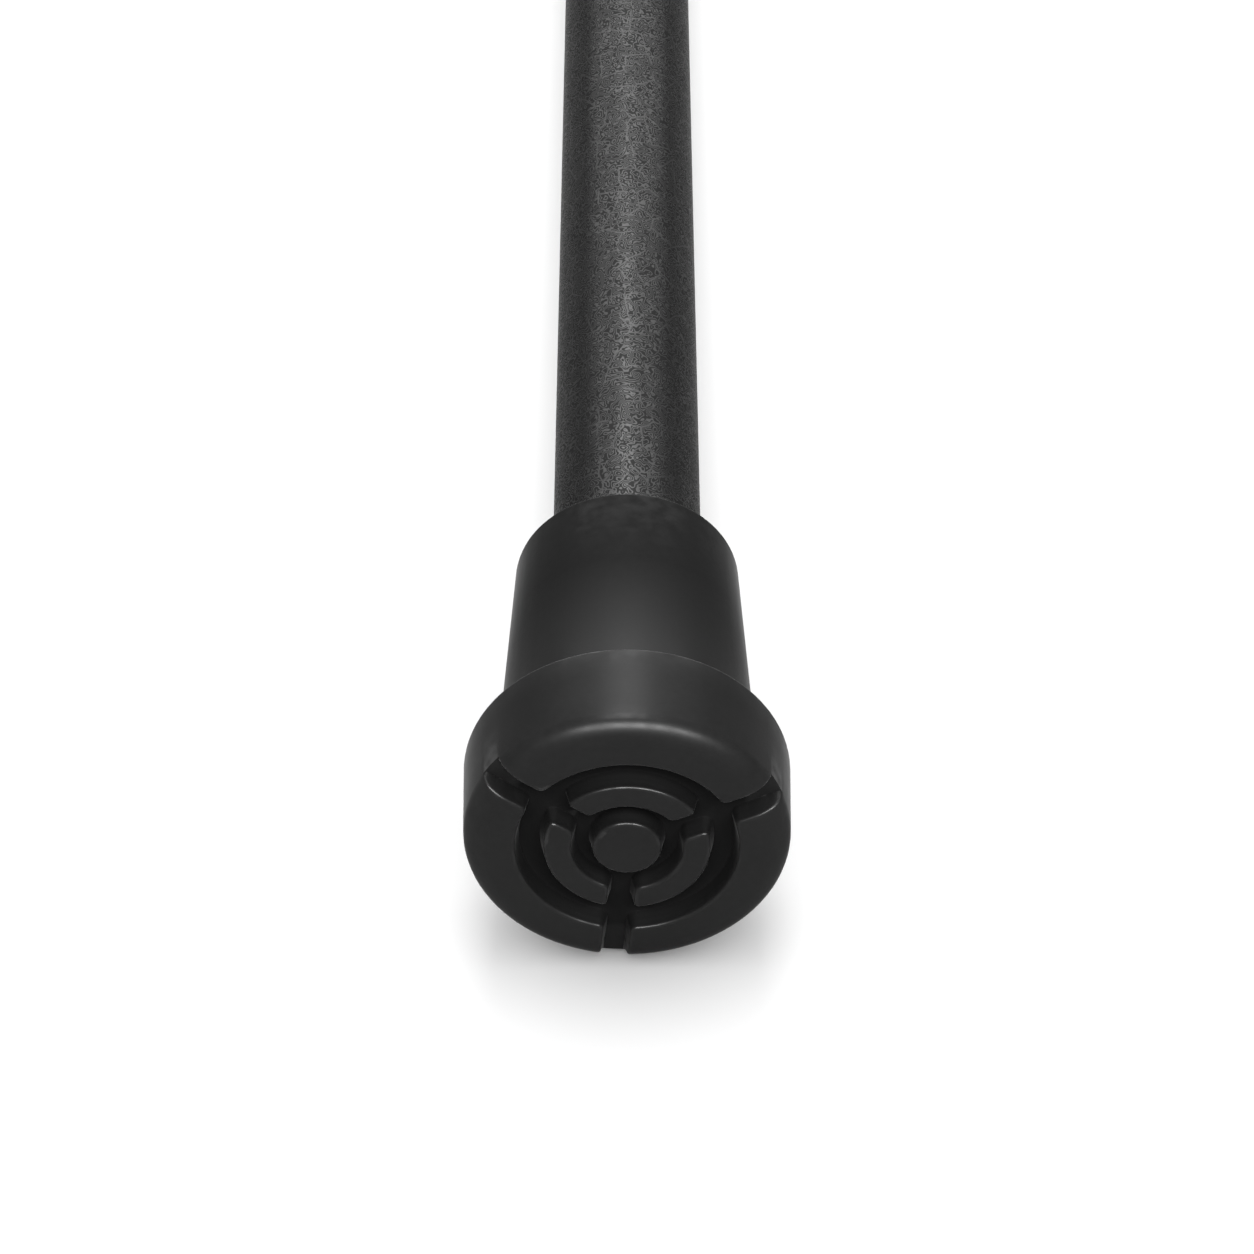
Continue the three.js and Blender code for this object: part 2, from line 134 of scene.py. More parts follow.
def by_ray(tree, ray, usual, special):
    """A colour that is special for one kind of ray. usual may be a colour or a socket."""
    path = tree.nodes.new("ShaderNodeLightPath")
    pick = tree.nodes.new("ShaderNodeMix")
    pick.data_type = "RGBA"
    if isinstance(usual, tuple):
        pick.inputs["A"].default_value = usual
    else:
        tree.links.new(usual, pick.inputs["A"])
    pick.inputs["B"].default_value = special
    tree.links.new(path.outputs[ray], pick.inputs["Factor"])
    return pick.outputs["Result"]


floor_paint = bpy.data.materials.new("floor_paint")
floor_paint.use_nodes = True
floor_tree = floor_paint.node_tree
floor_shader = floor_tree.nodes["Principled BSDF"]
floor_colour = by_ray(floor_tree, "Is Glossy Ray", FLOOR_WHITE, FLOOR_MIRRORED)
floor_tree.links.new(floor_colour, floor_shader.inputs["Base Color"])
floor_shader.inputs["Roughness"].default_value = 0.9
floor_shader.inputs["Specular IOR Level"].default_value = 0.0
floor_mesh.materials.append(floor_paint)
print("floor is painted", floor_paint.name)

# %% Lights
def soft_box(name, place, aim, width, depth, power):
    """A rectangular area light at place, facing the point aim."""
    data = bpy.data.lights.new(name, "AREA")
    data.shape = "RECTANGLE"
    data.size, data.size_y = width, depth
    data.energy = power
    box = bpy.data.objects.new(name, data)
    box.location = place
    box.rotation_euler = (Vector(aim) - Vector(place)).to_track_quat("-Z", "Y").to_euler()
    box.visible_camera = False
    bpy.context.scene.collection.objects.link(box)
    return box


# Place, the point it faces, width, depth and watts. A box that faces the ground
# looks a hair aside, so that it is clear which way round it lies.
overhead = soft_box("overhead", (0.0, 0.75, 1.15), (0.0, 0.7501, 0.0), 0.5, 1.6, 8.5)
gloss_strip = soft_box("gloss_strip", (0.0, 2.4, 0.95), (0.0, 0.0, 0.0), 2.7, 1.5, 11.5)
zenith_strip = soft_box("zenith_strip", (0.2, -0.8, 0.9), (0.2, -0.7999, 0.0), 1.5, 0.6, 31.0)
for strip in (gloss_strip, zenith_strip):
    strip.visible_diffuse = False  # lights no matt surface, is only mirrored
print("lights:", [light.name for light in (overhead, gloss_strip, zenith_strip)])

# %% Sky
SKY_SEEN = (1.0, 1.0, 1.0, 1)  # what the camera sees past the floor
SKY_MIRRORED = (0.05, 0.05, 0.05, 1)  # what glossy surfaces see
SKY_FILL = (1.15, 1.15, 1.15, 1)  # what lights matt surfaces

world = bpy.data.worlds.new("studio")
bpy.context.scene.world = world
world.use_nodes = True
sky = world.node_tree
sky.nodes.clear()
sky_out = sky.nodes.new("ShaderNodeOutputWorld")
sky_light = sky.nodes.new("ShaderNodeBackground")
lit_or_mirrored = by_ray(sky, "Is Glossy Ray", SKY_FILL, SKY_MIRRORED)
sky.links.new(by_ray(sky, "Is Camera Ray", lit_or_mirrored, SKY_SEEN), sky_light.inputs["Color"])
sky.links.new(sky_light.outputs["Background"], sky_out.inputs["Surface"])
bpy.context.scene.view_settings.view_transform = "Standard"
print("the world has", len(sky.nodes), "nodes")

# %% [markdown]
# ## From rings to a mesh
#
# Nearly every piece here is a stack of closed rings: a turned part is a stack of
# circles, and the grip a stack of ovals. One helper joins such rings with quads.
# It could use the Screw modifier instead, but plain rings also allow slots,
# flutes and ovals, and the mesh stays all quads.

# %% Mesh helpers
SHARP = math.radians(38)


def object_from(bm, name):
    """Turns a bmesh into an object with smooth faces and sharp edges where faces fold."""
    bmesh.ops.recalc_face_normals(bm, faces=bm.faces)
    for face in bm.faces:
        face.smooth = True
    for edge in bm.edges:
        edge.smooth = edge.calc_face_angle(0.0) < SHARP
    mesh = bpy.data.meshes.new(name)
    bm.to_mesh(mesh)
    bm.free()
    piece = bpy.data.objects.new(name, mesh)
    bpy.context.scene.collection.objects.link(piece)
    print(name, "has", len(mesh.vertices), "points and", len(mesh.polygons), "faces")
    return piece


def join_rings(bm, low, high):
    """A band of quads between two rings of points."""
    for j in range(len(low)):
        k = (j + 1) % len(low)
        bm.faces.new((low[j], low[k], high[k], high[j]))


def close_ring(bm, ring, tip):
    """A fan of triangles from a ring to one point."""
    middle = bm.verts.new(tip)
    for j in range(len(ring)):
        bm.faces.new((ring[j], ring[(j + 1) % len(ring)], middle))


def piece_from_rings(name, rings, tips=None):
    """Rings of equal length become one closed mesh. tips are the two end points,
    and without them the last ring joins the first."""
    bm = bmesh.new()
    rows = [[bm.verts.new(point) for point in ring] for ring in rings]
    for low, high in zip(rows, rows[1:]):
        join_rings(bm, low, high)
    if tips:
        close_ring(bm, rows[0], tips[0])
        close_ring(bm, rows[-1], tips[1])
    else:
        join_rings(bm, rows[-1], rows[0])
    return object_from(bm, name)


# %% [markdown]
# A turned piece is drawn as half of its section, as [radius, height] corners.
# Real edges are never razor sharp, and a rounded one catches the light, so each
# corner may name how far from it the rounding starts.

# %% Turned pieces
MOST_OF_EDGE = 0.48  # under a half, so that two roundings on one edge can't meet


def soften(profile, closed, steps=4):
    """Rounds the corners of (radius, y, setback) points with short curves."""
    out = []
    count = len(profile)
    for i, (radius, y, setback) in enumerate(profile):
        here = Vector((radius, y))
        if not closed and i in (0, count - 1):
            out.append(here)
            continue
        before = Vector(profile[i - 1][:2]) - here
        after = Vector(profile[(i + 1) % count][:2]) - here
        back = min(setback, MOST_OF_EDGE * before.length, MOST_OF_EDGE * after.length)
        if back <= 0:
            out.append(here)
            continue
        start = here + before.normalized() * back
        end = here + after.normalized() * back
        for step in range(steps + 1):
            t = step / steps
            out.append(start * (1 - t) ** 2 + here * 2 * t * (1 - t) + end * t * t)
    return out


def ring_at(radius, y, angles):
    """Points round the cane's axis at those angles."""
    return [(radius * math.cos(a), y, radius * math.sin(a)) for a in angles]


def circle(radius, y, sides):
    return ring_at(radius, y, [2 * math.pi * j / sides for j in range(sides)])


def turned(name, profile, closed=True, sides=96):
    """A round piece about the cane's axis. An open profile starts and ends on the axis."""
    points = soften(profile, closed)
    if closed:
        return piece_from_rings(name, [circle(r, y, sides) for r, y in points])
    tips = [(0, points[0].y, 0), (0, points[-1].y, 0)]
    return piece_from_rings(name, [circle(r, y, sides) for r, y in points[1:-1]], tips)


# %% [markdown]
# ## The rubber tip
#
# The tip is one moulding. Its walking face has a middle disc, an inner ring and
# a broad outer land, parted by two round grooves and three straight slots. The
# slots run out through the rim. Every land has a rounded edge, walls that lean a
# little so the moulding leaves its tool, and rounded corners.
#
# Cutting the slots with booleans and bevelling them leaves slivers. Instead the
# whole face is one grid of rings and spokes. Rings lie along the groove walls,
# spokes run along the slot walls, and each grid point knows how far down the wall
# it stands, so every edge gets the same rounding.

# %% Sizes of the tip
TIP_HEIGHT = tip_high.y
FLANGE_RADIUS = tip_high.z  # at its top, where it is widest
FLANGE_FOOT = 22.57 * MM
FLANGE_HEIGHT = 15.6 * MM
RIM_WIDTH, RIM_HEIGHT = 4.0 * MM, 3.0 * MM  # half axes of the rounded rim
TREAD_DEPTH = 3.0 * MM
DISC, RING_IN, RING_OUT, LAND_IN = 4.76 * MM, 7.70 * MM, 11.49 * MM, 15.38 * MM
SLOT_HALF = 1.85 * MM  # half the slot's mouth
SLOT_TURN = math.radians(-95)  # where the first slot points, from +X
EDGE = 0.5 * MM  # rounding along the top of each wall
DRAFT = 0.45 * MM  # how far a wall leans
FOOT = 0.3 * MM  # rounding at the bottom of each wall
CORNER = 0.9 * MM  # rounding of a land's corners, seen from above


def wall_levels():
    """(distance in from the land's edge, depth) from the flat top to the floor."""
    levels = [(CORNER, 0.0), (0.7 * MM, 0.0)]
    for step in range(5):
        angle = math.pi / 2 * step / 4
        levels.append((EDGE - EDGE * math.sin(angle), EDGE - EDGE * math.cos(angle)))
    for step in range(3):
        angle = math.pi / 2 * step / 2
        levels.append((-DRAFT - FOOT * (1 - math.cos(angle)),
                       TREAD_DEPTH - FOOT + FOOT * math.sin(angle)))
    return levels


LEVELS = wall_levels()
FLOOR_LEVEL = len(LEVELS) - 1
print("a wall has", len(LEVELS), "levels")

# %% Rows and columns of the tread
DISC_INNER, DISC_OUTER, LAND_ROW = 1.4 * MM, 2.8 * MM, 17.4 * MM  # rows that keep faces even
RIM_STEPS = 10


def tread_rows():
    """Each row of the face as (radius, edge, side, level, slotted, top)."""
    rows = []

    def plain(radius, slotted, level=0, top=0.0):
        rows.append((radius, None, 0, level, slotted, top))

    def wall(edge, side, slotted):
        order = range(len(LEVELS)) if side < 0 else reversed(range(len(LEVELS)))
        for level in order:
            rows.append((edge + side * LEVELS[level][0], edge, side, level, slotted, 0.0))

    plain(DISC_INNER, False)
    plain(DISC_OUTER, False)
    wall(DISC, -1, False)
    plain((DISC + RING_IN) / 2, False, FLOOR_LEVEL)
    wall(RING_IN, 1, True)
    plain((RING_IN + RING_OUT) / 2, True)
    wall(RING_OUT, -1, True)
    plain((RING_OUT + LAND_IN) / 2, False, FLOOR_LEVEL)
    wall(LAND_IN, 1, True)
    plain(LAND_ROW, True)
    for step in range(RIM_STEPS + 1):
        angle = math.pi / 2 * step / RIM_STEPS
        plain(FLANGE_FOOT - RIM_WIDTH * (1 - math.sin(angle)), True, 0,
              RIM_HEIGHT * (1 - math.cos(angle)))
    return rows


BETWEEN = 26  # spokes between one slot and the next


def tread_columns():
    """Each spoke as (slot, side, level) beside a slot, or (slot, None, share) between slots."""
    columns = []
    for slot in range(3):
        columns += [(slot, -1, level) for level in range(len(LEVELS))]
        columns.append((slot, 0, FLOOR_LEVEL))
        columns += [(slot, 1, level) for level in reversed(range(len(LEVELS)))]
        columns += [(slot, None, (i + 1) / (BETWEEN + 1)) for i in range(BETWEEN)]
    return columns


def slot_angle(slot):
    return SLOT_TURN + 2 * math.pi * slot / 3


NARROWEST = 6.3 * MM  # inside this radius the spokes stop closing in


def spoke_angle(column, radius):
    """Where a spoke is at that radius. Beside a slot it runs along the slot's wall."""
    slot, side, value = column
    reach = max(radius, NARROWEST)
    if side is None:
        swing = math.asin((SLOT_HALF + CORNER) / reach)
        start, end = slot_angle(slot) + swing, slot_angle(slot + 1) - swing
        return start + (end - start) * value
    return slot_angle(slot) + math.asin(side * (SLOT_HALF + LEVELS[value][0]) / reach)


def tread_point(row, column):
    """The grid point of a row and a column. At a land's corner both walls lean on it,
    and it is pulled in so that the corner becomes round."""
    radius, edge, row_side, row_level, slotted, top = row
    slot, side, value = column
    level = value if slotted and side is not None else 0
    angle = spoke_angle(column, radius)
    if slotted and side and row_level and level:
        across, along = CORNER - LEVELS[row_level][0], CORNER - LEVELS[level][0]
        pull = max(across, along) / math.hypot(across, along)
        radius = edge + row_side * (CORNER - across * pull)
        offset = side * (SLOT_HALF + CORNER - along * pull)
        angle = slot_angle(slot) + math.asin(offset / radius)
    drop = LEVELS[max(row_level, level)][1]
    depth = min(top + drop, max(TREAD_DEPTH, top))
    return (radius * math.cos(angle), depth, radius * math.sin(angle))


# %% Build the tip
columns = tread_columns()
tip_rings = [[tread_point(row, column) for column in columns] for row in tread_rows()]
SOCKET = 11.35 * MM
SOCKET_FLOOR = 11.3 * MM
# Up the flange, over its shoulder, up the sleeve, over the mouth and down the socket.
tip_side = [
    (FLANGE_FOOT, RIM_HEIGHT, 0),
    (FLANGE_FOOT + 0.1 * MM, 7 * MM, 0),
    (FLANGE_FOOT + 0.2 * MM, 11 * MM, 0),
    (FLANGE_RADIUS, FLANGE_HEIGHT, 0.5 * MM),
    (19.3 * MM, FLANGE_HEIGHT + 0.5 * MM, 0.8 * MM),
    (18.35 * MM, FLANGE_HEIGHT + 2.2 * MM, 0.8 * MM),
    (17.5 * MM, 36 * MM, 0),
    (16.5 * MM, TIP_HEIGHT, 0.6 * MM),
    (SOCKET + 0.8 * MM, TIP_HEIGHT, 0.5 * MM),
    (SOCKET, TIP_HEIGHT - 1.6 * MM, 0.4 * MM),
    (SOCKET, SOCKET_FLOOR, 0.5 * MM),
    (4 * MM, SOCKET_FLOOR, 0),
]
side_angles = [spoke_angle(column, FLANGE_FOOT) for column in columns]
tip_rings += [ring_at(radius, y, side_angles) for radius, y in soften(tip_side, False)[1:]]
rubber_tip = piece_from_rings("rubber_tip", tip_rings, [(0, 0, 0), (0, SOCKET_FLOOR, 0)])

# %% [markdown]
# ## Tubes with round holes
#
# The main tube has a row of seven holes for the snap button. A boolean would
# leave long thin faces round each hole, so the wall is a grid of quads with a
# square window at each hole, and each window is filled with loops that turn from
# the square into the circle. The same loops carry the small bevel and go through
# to the inner wall.

# %% Tube with windows
WINDOW = 6.0 * MM  # half the side of a window
WINDOW_CELLS = 8
WINDOW_LINES = [i * (2 * WINDOW / WINDOW_CELLS) - WINDOW for i in range(WINDOW_CELLS + 1)]
SIDE_CELLS = 20  # cells of the wall between an upper window and a lower one
LONGEST_CELL = 20 * MM
HOLE_MARGIN = 0.8 * MM  # a flat ring of faces round each hole
BEVEL = 0.3 * MM
EASED = 0.3 * BEVEL  # the bevel's upper edge is eased by a narrower one


def tube_angles(outer):
    """Angles of the lines along a tube, and the column where each way's windows start."""
    upper = [math.pi / 2 - math.asin(x / outer) for x in WINDOW_LINES]
    gap = (math.pi - (upper[0] - upper[-1])) / SIDE_CELLS
    right = [upper[-1] - gap * (i + 1) for i in range(SIDE_CELLS - 1)]
    lower = [angle - math.pi for angle in upper]
    left = [lower[-1] - gap * (i + 1) for i in range(SIDE_CELLS - 1)]
    return upper + right + lower + left, {1: 0, -1: len(upper) + len(right)}


def tube_heights(start, end, holes):
    """Heights of the lines round a tube: those of all windows, and more in long gaps."""
    needed = {start + BEVEL, end - BEVEL}
    for y, *_ in holes:
        needed.update(y + x for x in WINDOW_LINES)
    needed = sorted(needed)
    heights = []
    for low, high in zip(needed, needed[1:]):
        cells = int((high - low) / LONGEST_CELL) + 1
        heights += [low + (high - low) * i / cells for i in range(cells)]
    return heights + [needed[-1]]


def window_frame():
    """Row and column of each point round a window, counted from its first corner."""
    way_round = range(WINDOW_CELLS)
    return ([(i, 0) for i in way_round] + [(WINDOW_CELLS, i) for i in way_round]
            + [(WINDOW_CELLS - i, WINDOW_CELLS) for i in way_round]
            + [(0, WINDOW_CELLS - i) for i in way_round])


def hole_rings(hole, turns, outer, inner):
    """Rings of points round a hole, from the outer wall through to the inner one."""
    y, radius, way = hole
    loops = [(radius + HOLE_MARGIN, outer), (radius + BEVEL, outer),
             (radius + EASED, outer - EASED), (radius, outer - BEVEL),
             (radius, inner + BEVEL), (radius + BEVEL, inner), (radius + HOLE_MARGIN, inner)]
    rings = []
    for reach, shell in loops:
        ring = []
        for turn in turns:
            angle = way * (math.pi / 2) - math.asin(reach * math.cos(turn) / shell)
            ring.append((shell * math.cos(angle), y + reach * math.sin(turn),
                         shell * math.sin(angle)))
        rings.append(ring)
    return rings


# %% A tube from its grid
def bridge(bm, first, rings, last):
    """Joins a row of points to another one by way of new rings."""
    rows = [first] + [[bm.verts.new(point) for point in ring] for ring in rings] + [last]
    for low, high in zip(rows, rows[1:]):
        join_rings(bm, low, high)


def holed_tube(name, outer, inner, start, end, holes):
    """A tube about the cane's axis. holes are (y, radius, way): way 1 opens up, -1 down."""
    angles, first_column = tube_angles(outer)
    heights = tube_heights(start, end, holes)
    count = len(angles)
    bm = bmesh.new()
    walls = [[[bm.verts.new(point) for point in ring_at(radius, y, angles)] for y in heights]
             for radius in (outer, inner)]
    corners = []
    skipped = set()
    for y, radius, way in holes:
        row = min(range(len(heights)), key=lambda i: abs(heights[i] - (y - WINDOW)))
        corners.append((row, first_column[way]))
        skipped.update((row + i, (first_column[way] + j) % count)
                       for i in range(WINDOW_CELLS) for j in range(WINDOW_CELLS))
    for wall in walls:
        for i in range(len(heights) - 1):
            for j in range(count):
                if (i, j) not in skipped:
                    k = (j + 1) % count
                    bm.faces.new((wall[i][j], wall[i][k], wall[i + 1][k], wall[i + 1][j]))
    for row, y in ((0, start), (-1, end)):
        rims = [ring_at(radius, y, angles) for radius in (outer - BEVEL, inner + BEVEL)]
        bridge(bm, walls[0][row], rims, walls[1][row])
    frame_steps = window_frame()
    for hole, (row, column) in zip(holes, corners):
        frames = [[wall[row + i][(column + j) % count] for i, j in frame_steps]
                  for wall in walls]
        turns = [math.atan2(heights[row + i] - hole[0], WINDOW_LINES[j]) for i, j in frame_steps]
        bridge(bm, frames[0], hole_rings(hole, turns, outer, inner), frames[1])
    bmesh.ops.delete(bm, geom=[v for v in bm.verts if not v.link_faces], context="VERTS")
    return object_from(bm, name)


# %% Main tube
tube_low, tube_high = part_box("shaft_tube")
button_low, button_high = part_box("snap_button")
joints = {joint["name"]: joint for joint in frame["joints"]}
HOLES_EACH_WAY = 3  # beyond the one that the button stands in
PITCH = joints["height_slide"]["range_m"][1] / HOLES_EACH_WAY
HOLE_RADIUS = 3.8 * MM
TUBE_BORE = 9.85 * MM
button_y = (button_low.y + button_high.y) / 2
hole_places = [button_y + PITCH * i for i in range(-HOLES_EACH_WAY, HOLES_EACH_WAY + 1)]
main_tube = holed_tube("main_tube", tube_high.x, TUBE_BORE, tube_low.y, tube_high.y,
                       [(y, HOLE_RADIUS, 1) for y in hole_places])
print("holes every", round(PITCH / MM, 1), "mm")

# %% [markdown]
# ## Booleans where they help
#
# Turned and lofted forms come straight from rings. Slots in the collet, screw
# bores and the hollow of the handle don't follow any ring, so they are cut with
# the Boolean modifier's manifold solver, which keeps a closed mesh closed. Each
# modifier is applied at once, so that later steps see the real shape.

# %% Cutting helpers
def settle(piece):
    """Replaces a piece's mesh by what its modifiers make of it."""
    graph = bpy.context.evaluated_depsgraph_get()
    made = bpy.data.meshes.new_from_object(piece.evaluated_get(graph))
    old = piece.data
    piece.modifiers.clear()
    piece.data = made
    bpy.data.meshes.remove(old)


def carve(piece, tool, operation="DIFFERENCE"):
    """Cuts, joins or keeps what piece and tool share, and throws the tool away."""
    cut = piece.modifiers.new("cut", "BOOLEAN")
    cut.operation = operation
    cut.solver = "MANIFOLD"
    cut.object = tool
    settle(piece)
    bpy.data.objects.remove(tool)


WELD = 0.002 * MM  # points this close together become one


def shade(piece, sharp=SHARP):
    """Smooth faces, with sharp edges where faces fold."""
    bm = bmesh.new()
    bm.from_mesh(piece.data)
    bmesh.ops.remove_doubles(bm, verts=bm.verts, dist=WELD)
    for face in bm.faces:
        face.smooth = True
    for edge in bm.edges:
        edge.smooth = edge.calc_face_angle(0.0) < sharp
    bm.to_mesh(piece.data)
    bm.free()
    print(piece.name, "has", len(piece.data.polygons), "faces after cutting")


def block(low, high):
    """A box between two corners, as a tool."""
    bm = bmesh.new()
    bmesh.ops.create_cube(bm, size=1.0)
    for vert in bm.verts:
        share = vert.co + Vector((0.5, 0.5, 0.5))
        vert.co = [a + (b - a) * s for a, b, s in zip(low, high, share)]
    return object_from(bm, "block_tool")


def stand_up(piece, x, y):
    """Turns a piece about the cane's axis into one about Z, through the point x, y."""
    piece.data.transform(Matrix.Translation((x, y, 0)) @ Matrix.Rotation(math.pi / 2, 4, "X"))
    return piece


def rod(radius, x, y, low, high, sides=48):
    """A round bar along Z, as a tool."""
    profile = [(0, low, 0), (radius, low, 0), (radius, high, 0), (0, high, 0)]
    return stand_up(turned("rod_tool", profile, False, sides), x, y)


# %% [markdown]
# ## Locking ring and collet
#
# The ring screws down over the collet and squeezes its fingers onto the inner
# tube. Fourteen flutes give the fingers a hold. A flute is the trace of a ball
# end cutter, so the outside radius is the smaller of two curves: the ring's own
# and the cutter's. A soft minimum rounds the edge where they meet, which a real
# moulding needs and which catches a fine line of light.

# %% Locking ring
RING_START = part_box("locking_ring")[0].y
RING_RADIUS = 16.6 * MM
FLUTES = 14
CUTTER = 2.0 * MM
CUTTER_OUT = RING_RADIUS + 1 * MM
FLUTE_FOOT = RING_START + 8 * MM
FLUTE_RUNOUT = 2 * MM
FLUTE_EDGE = 0.3 * MM


def soft_min(a, b, width):
    overlap = max(width - abs(a - b), 0) / width
    return min(a, b) - overlap * overlap * width / 4


def fluted(radius, y, angle):
    pitch = 2 * math.pi / FLUTES
    off = (angle + pitch / 2) % pitch - pitch / 2
    rise = min(max((y - FLUTE_FOOT) / FLUTE_RUNOUT, 0), 1)
    cut = CUTTER * math.sqrt(1 - (1 - rise) ** 2)
    reach = cut ** 2 - (CUTTER_OUT * math.sin(off)) ** 2
    if reach <= 0:
        return radius
    return soft_min(radius, CUTTER_OUT * math.cos(off) - math.sqrt(reach), FLUTE_EDGE)


def flute_angles():
    half = [0, 2, 3.6, 4.8, 5.5, 5.9, 6.4, 7.4, 9.6]  # degrees from a flute's middle
    offsets = sorted({-x for x in half} | set(half)) + [180 / FLUTES]
    return [math.radians(360 / FLUTES * i + x) for i in range(FLUTES) for x in offsets]


def in_mm(profile, start):
    """A profile given in mm above start, as (radius, y, setback) in metres."""
    return [(radius * MM, start + y * MM, back * MM) for radius, y, back in profile]


ring_profile = in_mm(
    [(13.2, 0, 0.3), (15.0, 0, 0.35), (15.8, 0.8, 0.35), (15.8, 5, 0.5), (16.6, 6.5, 0.6)]
    + [(16.6, 8 + x, 0) for x in (-0.3, 0.02, 0.1, 0.25, 0.5, 0.9, 1.4, 2.0, 3.5, 7, 11, 15)]
    + [(16.6, 26, 1.8), (16.0, 30, 1.4), (14.4, 33.4, 1.0), (12.8, 35, 0.7), (10, 35, 0.25),
       (10, 34, 0.2), (11.9, 33.6, 0.2), (11.9, 30.6, 0.5), (13.2, 22.6, 0.5)], RING_START)
ring_angles = flute_angles()
grip_ring_rows = []
for radius, y in soften(ring_profile, True):
    row = []
    for angle in ring_angles:
        reach = fluted(radius, y, angle)
        row.append((reach * math.cos(angle), y, reach * math.sin(angle)))
    grip_ring_rows.append(row)
grip_ring = piece_from_rings("grip_ring", grip_ring_rows)

# %% Collet
collet_low, collet_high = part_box("shaft_collet")
collet = turned("collet", in_mm(
    [(11.3, 0, 0.25), (12.9, 0, 0.4), (12.9, 24, 0.4), (11.6, 32, 0.4), (9.73, 32, 0.2),
     (9.73, 20.3, 0), (11.3, 20.3, 0)], collet_low.y))
SLIT_START = collet_low.y + 21.3 * MM
SLIT_HALF = 0.6 * MM  # half the width of the slits between the fingers
PAST = 20 * MM  # far enough to be outside the piece
for x, z in ((SLIT_HALF, PAST), (PAST, SLIT_HALF)):
    carve(collet, block((-x, SLIT_START, -z), (x, collet_high.y + 1 * MM, z)))
shade(collet)

# %% [markdown]
# ## Inner tube, snap button and collar
#
# The inner tube slides in the main tube. A sprung button stands through one hole
# of each: press it, slide, and it drops into the next hole. The button is turned
# about Z with a domed top, so that a thumb can push it below the outer wall. The
# metal collar hides the joint between tube and handle and has one turned groove.

# %% Inner tube and button
inner_low, inner_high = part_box("handle_tube")
pin_low, pin_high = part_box("cross_pin")
pin_y = (pin_low.y + pin_high.y) / 2
PIN_HOLE = 2.25 * MM
INNER_RADIUS, INNER_BORE = 9.525 * MM, 8.125 * MM
inner_tube = holed_tube("inner_tube", INNER_RADIUS, INNER_BORE, inner_low.y, inner_high.y,
                        [(button_y, HOLE_RADIUS, 1), (pin_y, PIN_HOLE, 1), (pin_y, PIN_HOLE, -1)])

button_profile = in_mm(
    [(0, 0, 0), (4.4, 0, 0.15), (4.4, 1.2, 0.2), (3.5, 1.2, 0.1), (3.5, 6.6, 0.7),
     (2.9, 7.7, 0.6), (1.5, 8.2, 0.6), (0, 8.3, 0)], button_low.z)
thumb_button = stand_up(turned("thumb_button", button_profile, False, 64), 0, button_y)

# %% Collar
COLLAR_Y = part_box("handle_collar")[0].y
collar = turned("collar", in_mm(
    [(9.8, 0, 0.3), (12.5, 0, 0.4), (13.7, 1.2, 0.5), (13.7, 2.6, 0.25), (13.1, 3.2, 0.2),
     (13.1, 3.8, 0.2), (13.7, 4.4, 0.25), (13.9, 12.8, 0.3), (11.7, 12.8, 0.1),
     (11.7, 18.6, 0.3), (9.8, 18.6, 0.3)], COLLAR_Y), True, 128)

# %% [markdown]
# ## The handle's form
#
# A derby handle is an oval rod that droops at the nose and rises a little under
# the palm. It is lofted: a smooth line through a few points gives its run, and a
# second one gives its half height and half width, so every ring of the loft is an
# oval square to the line. The same function with an inset makes the hollow inside
# and the bed of the pad, which is why the loft is a function and not a sculpt.

# %% Lines through points
SPINE = [(-45, 50), (-33, 63), (-12, 70), (14, 71), (42, 68), (64, 66.5), (84, 70)]
GIRTH = [(7, 7.5), (10.5, 10.5), (13, 13), (13.5, 14.6), (12.6, 15.5), (11.8, 15), (11.5, 13.5)]


def on_line(points, t):
    """A Catmull-Rom line through 2D points, for t from 0 to 1."""
    place = (len(points) - 1) * t
    i = min(int(place), len(points) - 2)
    w = place - i
    a, b, c, d = (Vector(points[min(max(i + k, 0), len(points) - 1)]) for k in (-1, 0, 1, 2))
    out, back = (c - a) / 2, (d - b) / 2
    return ((2 * b - 2 * c + out + back) * w ** 3 + (-3 * b + 3 * c - 2 * out - back) * w ** 2
            + out * w + b)


def square_to_line(points, t):
    """The direction square to the line, to its left."""
    along = on_line(points, min(t + 1e-4, 1)) - on_line(points, max(t - 1e-4, 0))
    return Vector((-along.y, along.x)).normalized()


SPINE_STEPS = 200


def length_table(points):
    """Length of the line up to each of its steps, to find places by length."""
    table = [0.0]
    for i in range(SPINE_STEPS):
        step = on_line(points, (i + 1) / SPINE_STEPS) - on_line(points, i / SPINE_STEPS)
        table.append(table[-1] + step.length)
    return table


SPINE_TABLE = length_table(SPINE)
GRIP_LENGTH = SPINE_TABLE[-1]


def grip_at(share):
    """Centre, side direction, half height and half width in mm at a share of the length."""
    goal = share * GRIP_LENGTH
    i = max(k for k, length in enumerate(SPINE_TABLE[:-1]) if length <= goal)
    t = (i + (goal - SPINE_TABLE[i]) / (SPINE_TABLE[i + 1] - SPINE_TABLE[i])) / SPINE_STEPS
    height, width = on_line(GIRTH, t)
    return on_line(SPINE, t), square_to_line(SPINE, t), height, width


print("the grip is", round(GRIP_LENGTH), "mm long")

# %% Loft the grip
NOSE_CAP, TAIL_CAP = 8, 11  # mm of each end that are rounded off


